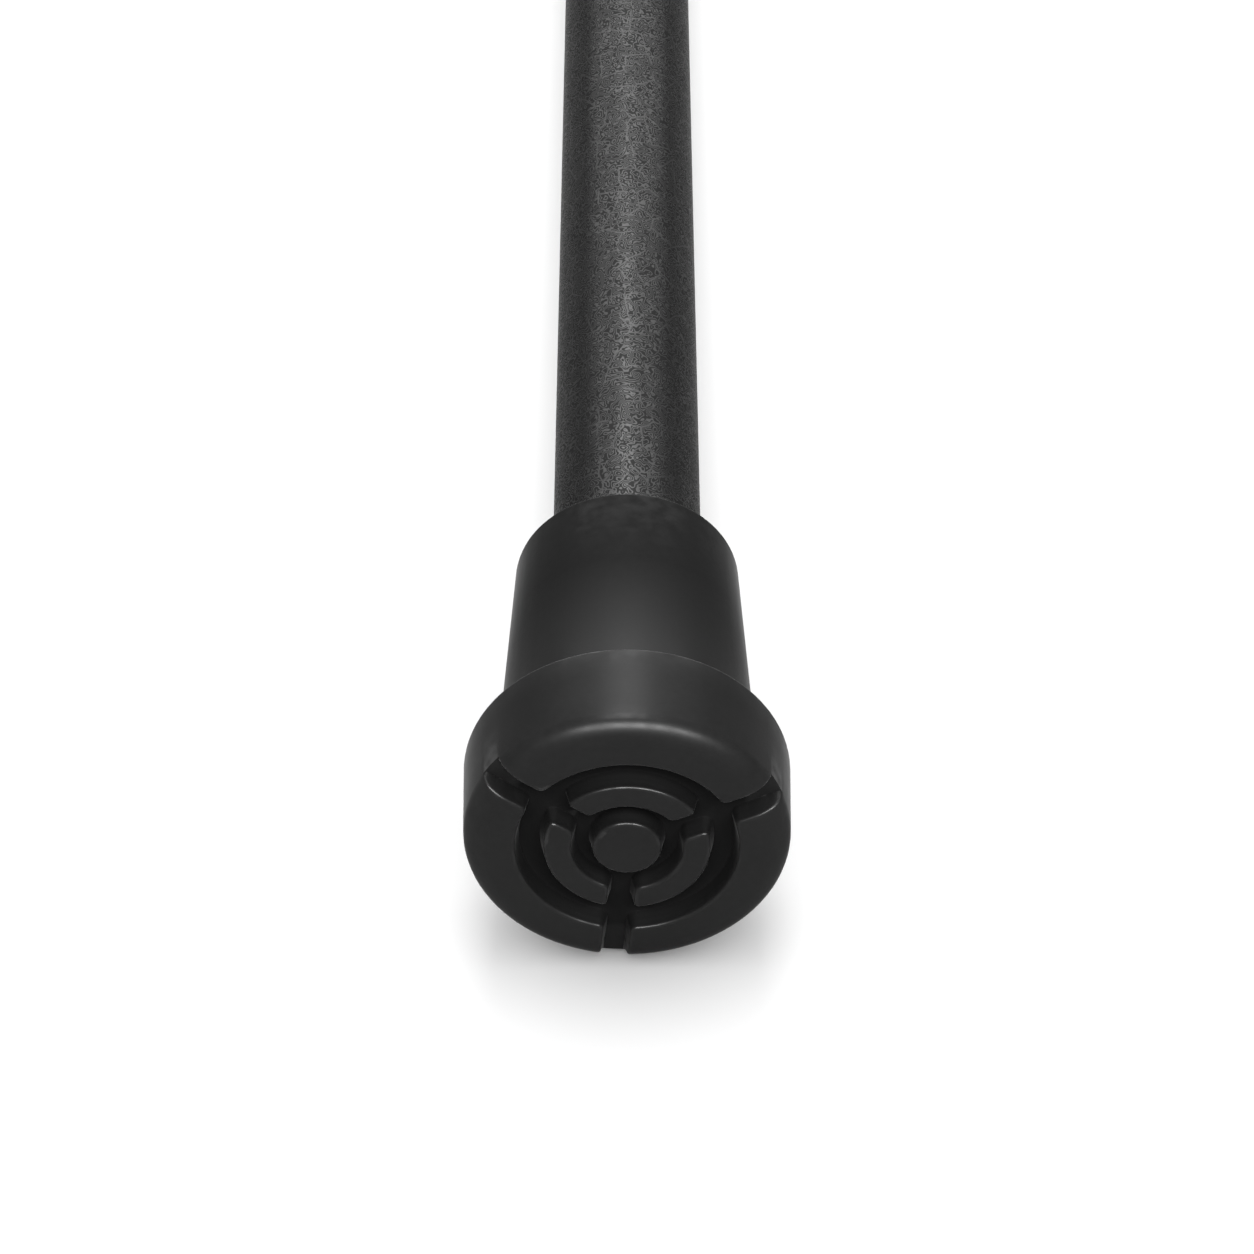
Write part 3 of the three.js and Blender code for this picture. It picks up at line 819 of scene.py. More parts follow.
def grip_form(inset, ring_count=64, sides=48):
    """The grip's closed form, with its surface moved in by inset mm."""
    rings = []
    ends = []
    for i in range(ring_count + 1):
        eased = (1 - math.cos(math.pi * i / ring_count)) / 2
        along = inset + (GRIP_LENGTH - 2 * inset) * eased
        centre, side, height, width = grip_at(along / GRIP_LENGTH)
        if i in (0, ring_count):
            ends.append((centre.x * MM, COLLAR_Y + centre.y * MM, 0))
            continue
        nose = max(0, 1 - (along - inset) / NOSE_CAP)
        tail = max(0, 1 - (GRIP_LENGTH - inset - along) / TAIL_CAP)
        cap = math.sqrt(1 - nose ** 2) * math.sqrt(1 - tail ** 2)
        ring = []
        for j in range(sides):
            angle = 2 * math.pi * j / sides
            flat = centre + side * cap * (height - inset) * math.cos(angle)
            ring.append((flat.x * MM, COLLAR_Y + flat.y * MM,
                         cap * (width - inset) * math.sin(angle) * MM))
        rings.append(ring)
    return piece_from_rings("grip_form", rings, ends)


# %% [markdown]
# ## Blending grip and neck
#
# The neck that takes the tube runs into the grip from below. A boolean union
# would leave a sharp crease there, but a moulded handle flows. So the two closed
# forms are fused by a voxel remesh, which rebuilds the skin as even small quads,
# and the skin round the junction is smoothed until the crease is a fillet.

# %% Handle blank
NECK = [(13.9, 13.1), (13.3, 17.1), (12.4, 28), (12.2, 40), (13, 50), (14.2, 57), (14.2, 66)]
NECK_FOOT = 13.1  # mm above the collar's lower edge
NECK_RINGS = 24
FILLET_HEIGHTS = (53, 60, 5)  # lowest, highest and fading, in mm
FILLET_REACH = (10, 17, 4)  # the same for the distance from the cane's axis
BLANK_CELL = 0.75 * MM


def remesh(piece, size):
    """Fuses everything in a piece into one even skin with cells of that size."""
    voxels = piece.modifiers.new("voxels", "REMESH")
    voxels.mode = "VOXEL"
    voxels.voxel_size = size
    settle(piece)


def smooth_where(piece, weight, repeats):
    """Smooths the points, each as far as weight(x, y, z) says, with x, y, z in metres."""
    group = piece.vertex_groups.new(name="smoothed")
    for vert in piece.data.vertices:
        amount = weight(*vert.co)
        if amount > 0:
            group.add([vert.index], amount, "REPLACE")
    smooth = piece.modifiers.new("smooth", "SMOOTH")
    smooth.factor = 0.5
    smooth.iterations = repeats
    smooth.vertex_group = group.name
    settle(piece)
    piece.vertex_groups.clear()


def bump_between(value, low, high, soft):
    """1 between low and high, falling to 0 over soft beyond them."""
    outside = max(low - value, value - high, 0)
    return max(0.0, 1 - outside / soft)


def junction(x, y, z):
    """1 where grip and neck meet."""
    local = (y - COLLAR_Y) / MM
    out = math.hypot(x, z) / MM
    return bump_between(local, *FILLET_HEIGHTS) * bump_between(out, *FILLET_REACH)


def everywhere(x, y, z):
    """A weight that smooths all of a piece."""
    return 1.0


def neck_form():
    """The neck that takes the tube, as one turned form."""
    profile = [(0, NECK_FOOT, 0)]
    for i in range(NECK_RINGS + 1):
        radius, y = on_line(NECK, i / NECK_RINGS)
        profile.append((radius, y, 0.3 if i == 0 else 0))
    profile.append((0, NECK[-1][1], 0))
    return turned("neck_form", in_mm(profile, COLLAR_Y), False)


def copy_of(piece, name):
    twin = bpy.data.objects.new(name, piece.data.copy())
    bpy.context.scene.collection.objects.link(twin)
    return twin


blank = grip_form(0)
carve(blank, neck_form(), "UNION")
remesh(blank, BLANK_CELL)
smooth_where(blank, junction, 40)
smooth_where(blank, everywhere, 2)
foot_trim = block((-PAST, COLLAR_Y, -PAST), (PAST, COLLAR_Y + NECK_FOOT * MM, PAST))
carve(blank, foot_trim)
print("blank has", len(blank.data.polygons), "faces")

# %% [markdown]
# ## Cutting the two shells
#
# The blank becomes two half shells the way the mould makers think of it: take out
# the pad's bed, the hollow, the bores for tube, pin and screws, leave a post round
# each screw, and part it along the middle. A shallow step along the parting line
# is the witness that every clamshell shows.

# %% Pad bed
PAD_THICKNESS = 2.6  # mm
ROOM = 0.3  # mm between two pieces that touch
PAD_EDGE = [(10, 75.5), (42, 72.5), (64, 71), (84, 74), (100, 78)]  # its lower edge
PAD_FRONT, PAD_SHOULDER = -14, 82  # its front edge, and where that starts to turn back
ABOVE = 110  # mm, higher than the handle
PAD_TURN, PAD_FOOT = 4, 76  # how far back it turns, and the height of that corner
CURVE_STEPS, EDGE_STEPS = 8, 32


def pad_outline(grow):
    """Side view of the pad's zone in mm: everything above its lower edge."""
    front = PAD_FRONT - grow
    start = Vector((front, PAD_SHOULDER))
    corner = Vector((front + PAD_TURN, PAD_FOOT - grow))
    end = Vector((PAD_EDGE[0][0], PAD_EDGE[0][1] - grow))
    outline = [(front, ABOVE), (front, PAD_SHOULDER)]
    for i in range(1, CURVE_STEPS + 1):
        t = i / CURVE_STEPS
        outline.append(tuple(start * (1 - t) ** 2 + corner * 2 * t * (1 - t) + end * t * t))
    for i in range(1, EDGE_STEPS + 1):
        x, y = on_line(PAD_EDGE, i / EDGE_STEPS)
        outline.append((x, y - grow))
    return outline + [(PAD_EDGE[-1][0], ABOVE)]


def plate(outline, half):
    """A flat outline in the handle's plane, half thick to both sides."""
    bm = bmesh.new()
    sides = []
    for z in (-half, half):
        sides.append([bm.verts.new((x * MM, COLLAR_Y + y * MM, z)) for x, y in outline])
    join_rings(bm, *sides)
    for side in sides:
        bm.faces.new(side)
    return object_from(bm, "plate_tool")


def slab(low, high):
    """All of the handle between two distances to the side, as a tool."""
    return block((-80 * MM, COLLAR_Y, low), (120 * MM, COLLAR_Y + 120 * MM, high))


HANDLE_HALF = 25 * MM  # more than half the handle's width
pocket = plate(pad_outline(ROOM), HANDLE_HALF)
carve(pocket, grip_form(PAD_THICKNESS + ROOM))

WITNESS_DEPTH, WITNESS_HALF = 0.3 * MM, 0.4 * MM
step_core = copy_of(blank, "step_core")
shrink = step_core.modifiers.new("shrink", "DISPLACE")
shrink.strength = -WITNESS_DEPTH
shrink.mid_level = 0.0
settle(step_core)
step = slab(-WITNESS_HALF, WITNESS_HALF)
carve(step, step_core)
carve(blank, step)
carve(blank, pocket)

# %% Hollow, posts and bores
WALL = 5.6  # mm
HOLLOW_MESH = (48, 32)  # rings and sides, fewer than outside because nobody sees them
SCREW_AT = [0.2, 0.55, 0.83]  # share of the grip's length from the nose
SCREW_SINK = 3.4  # mm from the surface down to the head's seat
POST_RADIUS, SHANK_BORE, HEAD_BORE = 3.4 * MM, 1.7 * MM, 3.0 * MM
SHANK_END = -6.8 * MM
POST_GAP = 3.2  # mm, the most that a post may end short of the middle
PIN_REACH = 11 * MM  # half the length of the cross pin's bore
TUBE_SEAT, TUBE_STOP = 9.8, 70  # radius and upper end of the tube's bore, in mm
COLLAR_SEAT, COLLAR_STOP = 12.0, 18.9  # the same for the collar's sleeve
carve(blank, grip_form(WALL, *HOLLOW_MESH))
core_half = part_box("handle_core")[1].z / MM
core_gap = (min(core_half, POST_GAP) + ROOM) * MM
for share in SCREW_AT:
    centre, _, _, width = grip_at(share)
    x, y = centre.x * MM, COLLAR_Y + centre.y * MM
    for low, high in ((-PAST, -core_gap), (core_gap, PAST)):
        post = rod(POST_RADIUS, x, y, low, high)
        carve(post, grip_form(WALL - 1, *HOLLOW_MESH), "INTERSECT")
        carve(blank, post, "UNION")
    carve(blank, rod(SHANK_BORE, x, y, SHANK_END, PAST))
    carve(blank, rod(HEAD_BORE, x, y, (width - SCREW_SINK) * MM, PAST))
for radius, high in ((TUBE_SEAT, TUBE_STOP), (COLLAR_SEAT, COLLAR_STOP)):
    low = NECK_FOOT - 1
    carve(blank, turned("bore_tool", in_mm(
        [(0, low, 0), (radius, low, 0), (radius, high, 0), (0, high, 0)], COLLAR_Y), False))
carve(blank, rod(PIN_HOLE, 0, pin_y, -PIN_REACH, PIN_REACH))

# %% Part the shells
def half_shell(name, low, high):
    """The part of the blank between two distances to the side."""
    shell = copy_of(blank, name)
    carve(shell, slab(low, high), "INTERSECT")
    shade(shell)
    return shell


PARTING = ROOM / 2 * MM
upper_shell = half_shell("upper_shell", PARTING, HANDLE_HALF)
lower_shell = half_shell("lower_shell", -HANDLE_HALF, -PARTING)
bpy.data.objects.remove(blank)

# %% [markdown]
# ## The palm pad
#
# A strip of soft elastomer lies flush in the shells under the palm. It is the
# grip's outer skin above the pad line, with its rim rounded by a fine remesh and
# a little smoothing, because soft mouldings have no sharp edges. Shallow cross
# grooves let it flex and grip; they are pressed into the points themselves.

# %% Palm pad
GROOVE_PITCH, GROOVE_HALF, GROOVE_DEPTH = 6.5, 1.0, 0.65  # mm
GROOVES_FROM, GROOVES_TO = -8, 76
PLAIN_EDGE, EDGE_FADE = 2, 2.5  # mm without grooves above the lower edge, and their fading
PAD_CELL = 0.45 * MM
PAD_FOLD = math.radians(60)  # a fold has to be this sharp to show as an edge on rubber
SPINE_POINTS = 80
palm_rest = grip_form(0)
palm_rest.name = "palm_rest"
carve(palm_rest, grip_form(PAD_THICKNESS))
carve(palm_rest, plate(pad_outline(0), HANDLE_HALF), "INTERSECT")
remesh(palm_rest, PAD_CELL)
smooth_where(palm_rest, everywhere, 4)


def pad_edge_height(x):
    """Height of the pad's lower edge at x, in mm."""
    if x < PAD_EDGE[0][0]:
        return PAD_EDGE[0][1]
    for (x0, y0), (x1, y1) in zip(PAD_EDGE, PAD_EDGE[1:]):
        if x <= x1:
            return y0 + (y1 - y0) * (x - x0) / (x1 - x0)
    return PAD_EDGE[-1][1]


spine_line = [grip_at(i / SPINE_POINTS)[0] for i in range(SPINE_POINTS + 1)]
for vert in palm_rest.data.vertices:
    x, y = vert.co.x / MM, (vert.co.y - COLLAR_Y) / MM
    centre = min(spine_line, key=lambda point: abs(point.x - x))
    outward = vert.normal.y * (y - centre.y) + vert.normal.z * vert.co.z / MM
    off = abs((x + GROOVE_PITCH / 2) % GROOVE_PITCH - GROOVE_PITCH / 2)
    if outward <= 0 or off >= GROOVE_HALF or not GROOVES_FROM < x < GROOVES_TO:
        continue
    fade = min(max((y - pad_edge_height(x) - PLAIN_EDGE) / EDGE_FADE, 0), 1)
    depth = GROOVE_DEPTH * fade * (1 + math.cos(math.pi * off / GROOVE_HALF)) / 2
    vert.co -= vert.normal * depth * MM
shade(palm_rest, PAD_FOLD)

# %% [markdown]
# ## Screws
#
# Three socket screws hold the shells together from the upper side. The head is
# turned, and the hexagonal socket is a ring whose radius follows a hexagon.

# %% Shell screws
SOCKET_SIDES = 48
SCREW_END, HEAD_HEIGHT, SEAT_ROOM = -6.5, 2, 0.2  # mm


def hexagon(flat, y):
    """A ring of a hexagon that measures flat from its centre to each corner."""
    ring = []
    for j in range(SOCKET_SIDES):
        angle = 2 * math.pi * j / SOCKET_SIDES
        turn = angle % (math.pi / 3) - math.pi / 6
        reach = flat * math.cos(math.pi / 6) / math.cos(turn)
        ring.append((reach * math.cos(angle), y, reach * math.sin(angle)))
    return ring


def socket_screw(name, share):
    """A screw whose head stands on its seat in the shell, at a share of the grip's length."""
    centre, _, _, width = grip_at(share)
    under = width - SCREW_SINK + SEAT_ROOM
    top = under + HEAD_HEIGHT
    profile = in_mm([(0, SCREW_END, 0), (0.9, SCREW_END, 0.2), (1.5, SCREW_END + 1, 0.2),
                     (1.5, under, 0.1), (2.7, under, 0.15), (2.7, top, 0.5), (1.8, top, 0)], 0)
    rings = [circle(r, y, SOCKET_SIDES) for r, y in soften(profile, False)[1:]]
    rings += [hexagon(reach * MM, (top - drop) * MM)
              for reach, drop in ((1.45, 0), (1.34, 0.05), (1.3, 0.15), (1.3, 1.2))]
    tips = [(0, SCREW_END * MM, 0), (0, (top - 1.3) * MM, 0)]
    screw = piece_from_rings(name, rings, tips)
    return stand_up(screw, centre.x * MM, COLLAR_Y + centre.y * MM)


screws = [socket_screw(f"socket_screw_{i + 1}", share) for i, share in enumerate(SCREW_AT)]

# %% [markdown]
# Inside the tube, under the button, a strip of spring steel is folded into a V.
# Its lower leg rests on the tube's wall and its upper leg carries the button, so a
# press on the button folds the upper leg down. The two legs are separate pieces
# that meet just above the fold, because only the upper one bends: it is held by
# the handle at the fold and by the button at its other end.

# %% Button spring
LEAF_LINE = [(-6, 4.7), (7, 4.65), (27, 1.6), (31, -0.4), (27, -2.4), (-8, -6.2)]
LEAF_MEETING = 0.4  # share of the line where the upper leg ends and the fold starts
HALF_WIDTH, HALF_THICKNESS, LEAF_EDGE = 3.5, 0.3, 0.1
LEAF_CORNERS = [(HALF_WIDTH, LEAF_EDGE - HALF_THICKNESS), (HALF_WIDTH, HALF_THICKNESS - LEAF_EDGE),
                (HALF_WIDTH - LEAF_EDGE, HALF_THICKNESS)]
LEAF_SECTION = (LEAF_CORNERS + [(-x, y) for x, y in reversed(LEAF_CORNERS)]
                + [(LEAF_EDGE - HALF_WIDTH, -HALF_THICKNESS), (HALF_WIDTH - LEAF_EDGE, -HALF_THICKNESS)])


def leaf_point(flat, wide=0.0):
    """A point of the spring: along the cane and outwards, and wide to the side, in mm."""
    return (wide * MM, button_y + flat.x * MM, flat.y * MM)


def spring_leg(name, first, last, ring_count):
    """The strip between two shares of its line."""
    rings = []
    for i in range(ring_count + 1):
        t = first + (last - first) * i / ring_count
        across = square_to_line(LEAF_LINE, t)
        rings.append([leaf_point(on_line(LEAF_LINE, t) + across * thick, wide)
                      for wide, thick in LEAF_SECTION])
    tips = [leaf_point(on_line(LEAF_LINE, t)) for t in (first, last)]
    return piece_from_rings(name, rings, tips)


upper_leg = spring_leg("spring_upper_leg", 0.0, LEAF_MEETING, 40)
lower_leg = spring_leg("spring_lower_leg", LEAF_MEETING, 1.0, 60)

# %% [markdown]
# ## Finishes
#
# All finishes are procedural. Effects that several materials share are node
# groups: a patina that makes a surface a little lighter and duller in patches, a
# fine moulded grain, rubbed edges, and the wrinkle of the powder coat. Each group
# only puts out numbers that change over the surface, and each material decides
# how far to use them. All of them read object coordinates, in metres, so a
# grain has its true size on every piece and rides along when the piece moves.

# %% Node helpers
def wire_nodes(tree):
    """The two calls that every node tree is built with: a new node and a new link."""
    return tree.nodes.new, tree.links.new


def new_group(name, inputs, outputs):
    """A shader node group with float sockets. inputs are (name, default)."""
    tree = bpy.data.node_groups.new(name, "ShaderNodeTree")
    for label, value in inputs:
        socket = tree.interface.new_socket(label, in_out="INPUT", socket_type="NodeSocketFloat")
        socket.default_value = value
    for label in outputs:
        tree.interface.new_socket(label, in_out="OUTPUT", socket_type="NodeSocketFloat")
    return tree, tree.nodes.new("NodeGroupInput"), tree.nodes.new("NodeGroupOutput")


def noise_node(tree, scale, detail, source):
    """A 3D noise texture on object coordinates. scale may be a number or a socket."""
    node, wire = wire_nodes(tree)
    noise = node("ShaderNodeTexNoise")
    noise.inputs["Detail"].default_value = detail
    wire(source, noise.inputs["Vector"])
    if isinstance(scale, (int, float)):
        noise.inputs["Scale"].default_value = scale
    else:
        wire(scale, noise.inputs["Scale"])
    return noise


def remap(tree, value, from_low, from_high, to_low=0.0, to_high=1.0, smooth=False):
    node, wire = wire_nodes(tree)
    step = node("ShaderNodeMapRange")
    step.interpolation_type = "SMOOTHSTEP" if smooth else "LINEAR"
    wire(value, step.inputs["Value"])
    for label, number in (("From Min", from_low), ("From Max", from_high),
                          ("To Min", to_low), ("To Max", to_high)):
        step.inputs[label].default_value = number
    return step.outputs["Result"]


def arithmetic(tree, operation, first, second):
    """first and second may be numbers or sockets."""
    node, wire = wire_nodes(tree)
    step = node("ShaderNodeMath")
    step.operation = operation
    for socket, value in zip(step.inputs, (first, second)):
        if isinstance(value, (int, float)):
            socket.default_value = value
        else:
            wire(value, socket)
    return step.outputs["Value"]


# %% Shared effects
def make_patina():
    """Broad soft patches and a finer mottle, both from 0 to 1."""
    tree, given, result = new_group("patina", [("Patch Scale", 40.0), ("Mottle Scale", 900.0)],
                                    ["Patches", "Mottle"])
    place = tree.nodes.new("ShaderNodeTexCoord").outputs["Object"]
    patches = noise_node(tree, given.outputs["Patch Scale"], 3.0, place)
    mottle = noise_node(tree, given.outputs["Mottle Scale"], 4.0, place)
    tree.links.new(remap(tree, patches.outputs["Fac"], 0.3, 0.7), result.inputs["Patches"])
    tree.links.new(remap(tree, mottle.outputs["Fac"], 0.3, 0.7), result.inputs["Mottle"])
    return tree


def make_grain():
    """The fine pitted grain that a blasted mould leaves on plastic and rubber."""
    tree, given, result = new_group("moulded_grain", [("Grain Scale", 3000.0)], ["Height"])
    place = tree.nodes.new("ShaderNodeTexCoord").outputs["Object"]
    coarse = noise_node(tree, given.outputs["Grain Scale"], 2.0, place)
    finer = arithmetic(tree, "MULTIPLY", given.outputs["Grain Scale"], 2.7)
    fine = noise_node(tree, finer, 2.0, place)
    half = arithmetic(tree, "MULTIPLY", fine.outputs["Fac"], 0.5)
    tree.links.new(arithmetic(tree, "ADD", coarse.outputs["Fac"], half), result.inputs["Height"])
    return tree


def make_drawn_lines():
    """Fine parallel lines left by drawing, turning or brushing metal. The stretch along
    the cane's axis says which way they run: small for lines along it, large for across."""
    tree, given, result = new_group(
        "drawn_lines", [("Across", 6000.0), ("Along", 60.0)], ["Height", "Scratches"])
    node, wire = wire_nodes(tree)
    scale = node("ShaderNodeCombineXYZ")
    for axis, label in (("X", "Across"), ("Y", "Along"), ("Z", "Across")):
        wire(given.outputs[label], scale.inputs[axis])
    stretched = node("ShaderNodeVectorMath")
    stretched.operation = "MULTIPLY"
    wire(node("ShaderNodeTexCoord").outputs["Object"], stretched.inputs[0])
    wire(scale.outputs["Vector"], stretched.inputs[1])
    lines = noise_node(tree, 1.0, 3.0, stretched.outputs["Vector"])
    wire(lines.outputs["Fac"], result.inputs["Height"])
    coarse = noise_node(tree, 0.2, 2.0, stretched.outputs["Vector"])
    wire(remap(tree, coarse.outputs["Fac"], 0.62, 0.72), result.inputs["Scratches"])
    return tree


def axis_distance(tree, place):
    """How far a point lies from the cane's axis."""
    node, wire = wire_nodes(tree)
    flatten = node("ShaderNodeVectorMath")
    flatten.operation = "MULTIPLY"
    flatten.inputs[1].default_value = (1.0, 0.0, 1.0)
    wire(place, flatten.inputs[0])
    radius = node("ShaderNodeVectorMath")
    radius.operation = "LENGTH"
    wire(flatten.outputs["Vector"], radius.inputs[0])
    return radius.outputs["Value"]


FLAT = 0.51  # Pointiness of a surface that is just not flat any more


def make_rubbed_edges():
    """Where the surface bends outwards, broken up by noise: the edges that hands and floors rub."""
    tree, given, result = new_group(
        "rubbed_edges", [("Spread", 0.04), ("Break Scale", 500.0), ("Clear Radius", 0.0)], ["Mask"])
    bend = tree.nodes.new("ShaderNodeNewGeometry").outputs["Pointiness"]
    place = tree.nodes.new("ShaderNodeTexCoord").outputs["Object"]
    above = arithmetic(tree, "SUBTRACT", bend, FLAT)
    share = arithmetic(tree, "DIVIDE", above, given.outputs["Spread"])
    broken = noise_node(tree, given.outputs["Break Scale"], 4.0, place)
    rough = remap(tree, broken.outputs["Fac"], 0.35, 0.65)
    mask = remap(tree, arithmetic(tree, "MULTIPLY", share, rough), 0.0, 1.0)
    outside = arithmetic(tree, "GREATER_THAN", axis_distance(tree, place),
                         given.outputs["Clear Radius"])
    tree.links.new(arithmetic(tree, "MULTIPLY", mask, outside), result.inputs["Mask"])
    return tree


# %% Wrinkle of the powder coat
WANDER = 0.7 * MM  # how far the creases stray from straight edges
SKIN_RADIUS = 11.1 * MM  # about the shaft's own, to lay its skin flat
RIDGE_FOOT, RIDGE_CREST = 0.2, 0.42  # of the wave between two contour lines
CREASE_CORE, CREASE_SIDE = 0.01, 0.045  # of a cell


def unrolled(tree, place):
    """The shaft's skin laid flat: distance round the tube, then distance along it."""
    node, wire = wire_nodes(tree)
    parts = node("ShaderNodeSeparateXYZ")
    wire(place, parts.inputs["Vector"])
    angle = arithmetic(tree, "ARCTAN2", parts.outputs["X"], parts.outputs["Z"])
    flat = node("ShaderNodeCombineXYZ")
    wire(arithmetic(tree, "MULTIPLY", angle, SKIN_RADIUS), flat.inputs["X"])
    wire(parts.outputs["Y"], flat.inputs["Y"])
    return flat.outputs["Vector"]


def make_wrinkle():
    """Short winding ridges, like leather: what a powder coat does when its skin sets first.

    The ridges are the contour lines of a smooth noise, so they run side by side,
    turn round each other and never cross. The edges of large cells add longer creases
    that do cross them. A second noise keeps these in places only, and lets the ridges fade."""
    tree, given, result = new_group(
        "worm_wrinkle", [("Swirls Per Metre", 620.0), ("Lines Per Swirl", 11.0),
                         ("Creases Per Metre", 260.0)], ["Height"])
    node, wire = wire_nodes(tree)
    stretch = node("ShaderNodeVectorMath")
    stretch.operation = "MULTIPLY"
    stretch.inputs[1].default_value = (1.0, 0.7, 1.0)  # ridges run a little longer down the tube
    wire(node("ShaderNodeTexCoord").outputs["Object"], stretch.inputs[0])
    place = stretch.outputs["Vector"]
    swirl = noise_node(tree, given.outputs["Swirls Per Metre"], 1.0, place)
    level = arithmetic(tree, "MULTIPLY", swirl.outputs["Fac"], given.outputs["Lines Per Swirl"])
    wave = arithmetic(tree, "PINGPONG", level, 0.5)
    ridge = remap(tree, wave, RIDGE_FOOT, RIDGE_CREST, smooth=True)
    patches = noise_node(tree, given.outputs["Creases Per Metre"], 1.5, place)
    wander = node("ShaderNodeVectorMath")
    wander.operation = "MULTIPLY_ADD"
    wander.inputs[1].default_value = (WANDER, WANDER, WANDER)
    wire(swirl.outputs["Color"], wander.inputs[0])
    wire(unrolled(tree, place), wander.inputs[2])
    cells = node("ShaderNodeTexVoronoi")
    cells.voronoi_dimensions = "2D"
    cells.feature = "DISTANCE_TO_EDGE"
    wire(given.outputs["Creases Per Metre"], cells.inputs["Scale"])
    wire(wander.outputs["Vector"], cells.inputs["Vector"])
    distance = cells.outputs["Distance"]
    line = remap(tree, distance, CREASE_CORE, CREASE_SIDE, 0.7, 0.0, smooth=True)
    kept = remap(tree, patches.outputs["Fac"], 0.42, 0.5, smooth=True)
    crease = arithmetic(tree, "MULTIPLY", line, kept)
    strength = remap(tree, patches.outputs["Fac"], 0.35, 0.6, 0.7, 0.88)
    fine = arithmetic(tree, "MULTIPLY", ridge, strength)
    wire(arithmetic(tree, "MAXIMUM", fine, crease), result.inputs["Height"])
    return tree


GROUPS = {tree.name: tree for tree in
          (make_patina(), make_grain(), make_drawn_lines(), make_rubbed_edges(), make_wrinkle())}
print("node groups:", sorted(GROUPS))

# %% [markdown]
# A finish mixes two close colours by the patina, lets the rubbed edges show a
# third, spreads the roughness between two values and adds the grain as bump.
# The numbers for each slot follow the real materials: rubber is nearly black and
# dull, anodised aluminium is a dark metal, bare steel is bright.

# %% Building blocks of a finish
def place_group(tree, name, **values):
    node = tree.nodes.new("ShaderNodeGroup")
    node.node_tree = GROUPS[name]
    for label, value in values.items():
        node.inputs[label.replace("_", " ")].default_value = value
    return node


def mix_colour(tree, share, first, second):
    node, wire = wire_nodes(tree)
    mix = node("ShaderNodeMix")
    mix.data_type = "RGBA"
    for label, value in (("A", first), ("B", second)):
        if isinstance(value, tuple):
            mix.inputs[label].default_value = (*value, 1)
        else:
            wire(value, mix.inputs[label])
    wire(share, mix.inputs["Factor"])
    return mix.outputs["Result"]


def tint_where(tree, mask, colour):
    """Mixes a colour into the shader's present one, as far as the mask says."""
    base = tree.nodes["Principled BSDF"].inputs["Base Color"]
    tree.links.new(mix_colour(tree, mask, base.links[0].from_socket, colour), base)


def add_bump(tree, height, depth):
    """Raises the surface by depth mm times height, over the bump that it has already."""
    normal = tree.nodes["Principled BSDF"].inputs["Normal"]
    bump = tree.nodes.new("ShaderNodeBump")
    bump.inputs["Distance"].default_value = depth * MM
    tree.links.new(height, bump.inputs["Height"])
    if normal.links:
        tree.links.new(normal.links[0].from_socket, bump.inputs["Normal"])
    tree.links.new(bump.outputs["Normal"], normal)


def add_bloom(material, weight):
    """The pale bloom that a dull skin shows along its outline."""
    shader = material.node_tree.nodes["Principled BSDF"]
    shader.inputs["Sheen Weight"].default_value = weight
    shader.inputs["Sheen Roughness"].default_value = 0.25


def grey(level, warmth=0.0):
    return (level * (1 + warmth), level, level * (1 - warmth))


# %% One finish
def finish(name, dark, light, rough, metal=0.0, specular=0.5, grain=(3000.0, 0.01),
           worn=None, spread=0.04, patch=40.0, shine=0.0, clear=0.0):
    """A material. rough is (low, high), grain is (pits per metre, depth in mm).

    worn is the colour of rubbed edges and shine is how glossy the rubbing left them.
    Nothing nearer to the cane's axis than clear counts as an edge.
    """
    material = bpy.data.materials.new(name)
    material.use_nodes = True
    tree = material.node_tree
    wire = tree.links.new
    shader = tree.nodes["Principled BSDF"]
    shader.inputs["Metallic"].default_value = metal
    shader.inputs["Specular IOR Level"].default_value = specular
    patina = place_group(tree, "patina", Patch_Scale=patch)
    share = arithmetic(tree, "ADD", arithmetic(tree, "MULTIPLY", patina.outputs["Patches"], 0.6),
                       arithmetic(tree, "MULTIPLY", patina.outputs["Mottle"], 0.4))
    colour = mix_colour(tree, share, dark, light)
    if worn:
        edges = place_group(tree, "rubbed_edges", Spread=spread, Clear_Radius=clear)
        colour = mix_colour(tree, edges.outputs["Mask"], colour, worn)
    wire(colour, shader.inputs["Base Color"])
    roughness = remap(tree, share, 0.0, 1.0, *rough)
    if worn:
        polish = remap(tree, edges.outputs["Mask"], 0.0, 1.0, 1.0, 0.75)
        roughness = arithmetic(tree, "MULTIPLY", roughness, polish)
        gloss = remap(tree, edges.outputs["Mask"], 0.0, 1.0, 0.0, shine)
        wire(gloss, shader.inputs["Coat Weight"])
        shader.inputs["Coat Roughness"].default_value = 0.22
    wire(roughness, shader.inputs["Roughness"])
    pits = place_group(tree, "moulded_grain", Grain_Scale=grain[0])
    add_bump(tree, pits.outputs["Height"], grain[1])
    return material


# %% [markdown]
# The tip is moulded from rubber filled with carbon black. Its skin is dull, but
# walking polishes the edges of the lands, so the rubbed edges also get a clear
# shine. The bottoms of the grooves get painted shade, which makes them nearly
# black. A little sheen stands for the waxy bloom that old rubber shows where we
# look along its surface.

# %% Rubber tip finish
tip_rubber = finish("tip_rubber", grey(0.0145), grey(0.0185), (0.36, 0.44), specular=0.3,
                    grain=(2500.0, 0.006), worn=grey(0.024), spread=0.035, patch=60.0, shine=1.0,
                    clear=4.0 * MM)


# Painted shade in the tread's grooves: the depths where it sets in and the radii where it fades out.
SHADE_START, SHADE_FULL = 0.35 * MM, TREAD_DEPTH * 0.5  # depths between which it sets in
SHADE_OUTSIDE, SHADE_INSIDE = 18.2 * MM, 17.2 * MM  # radii between which it fades out


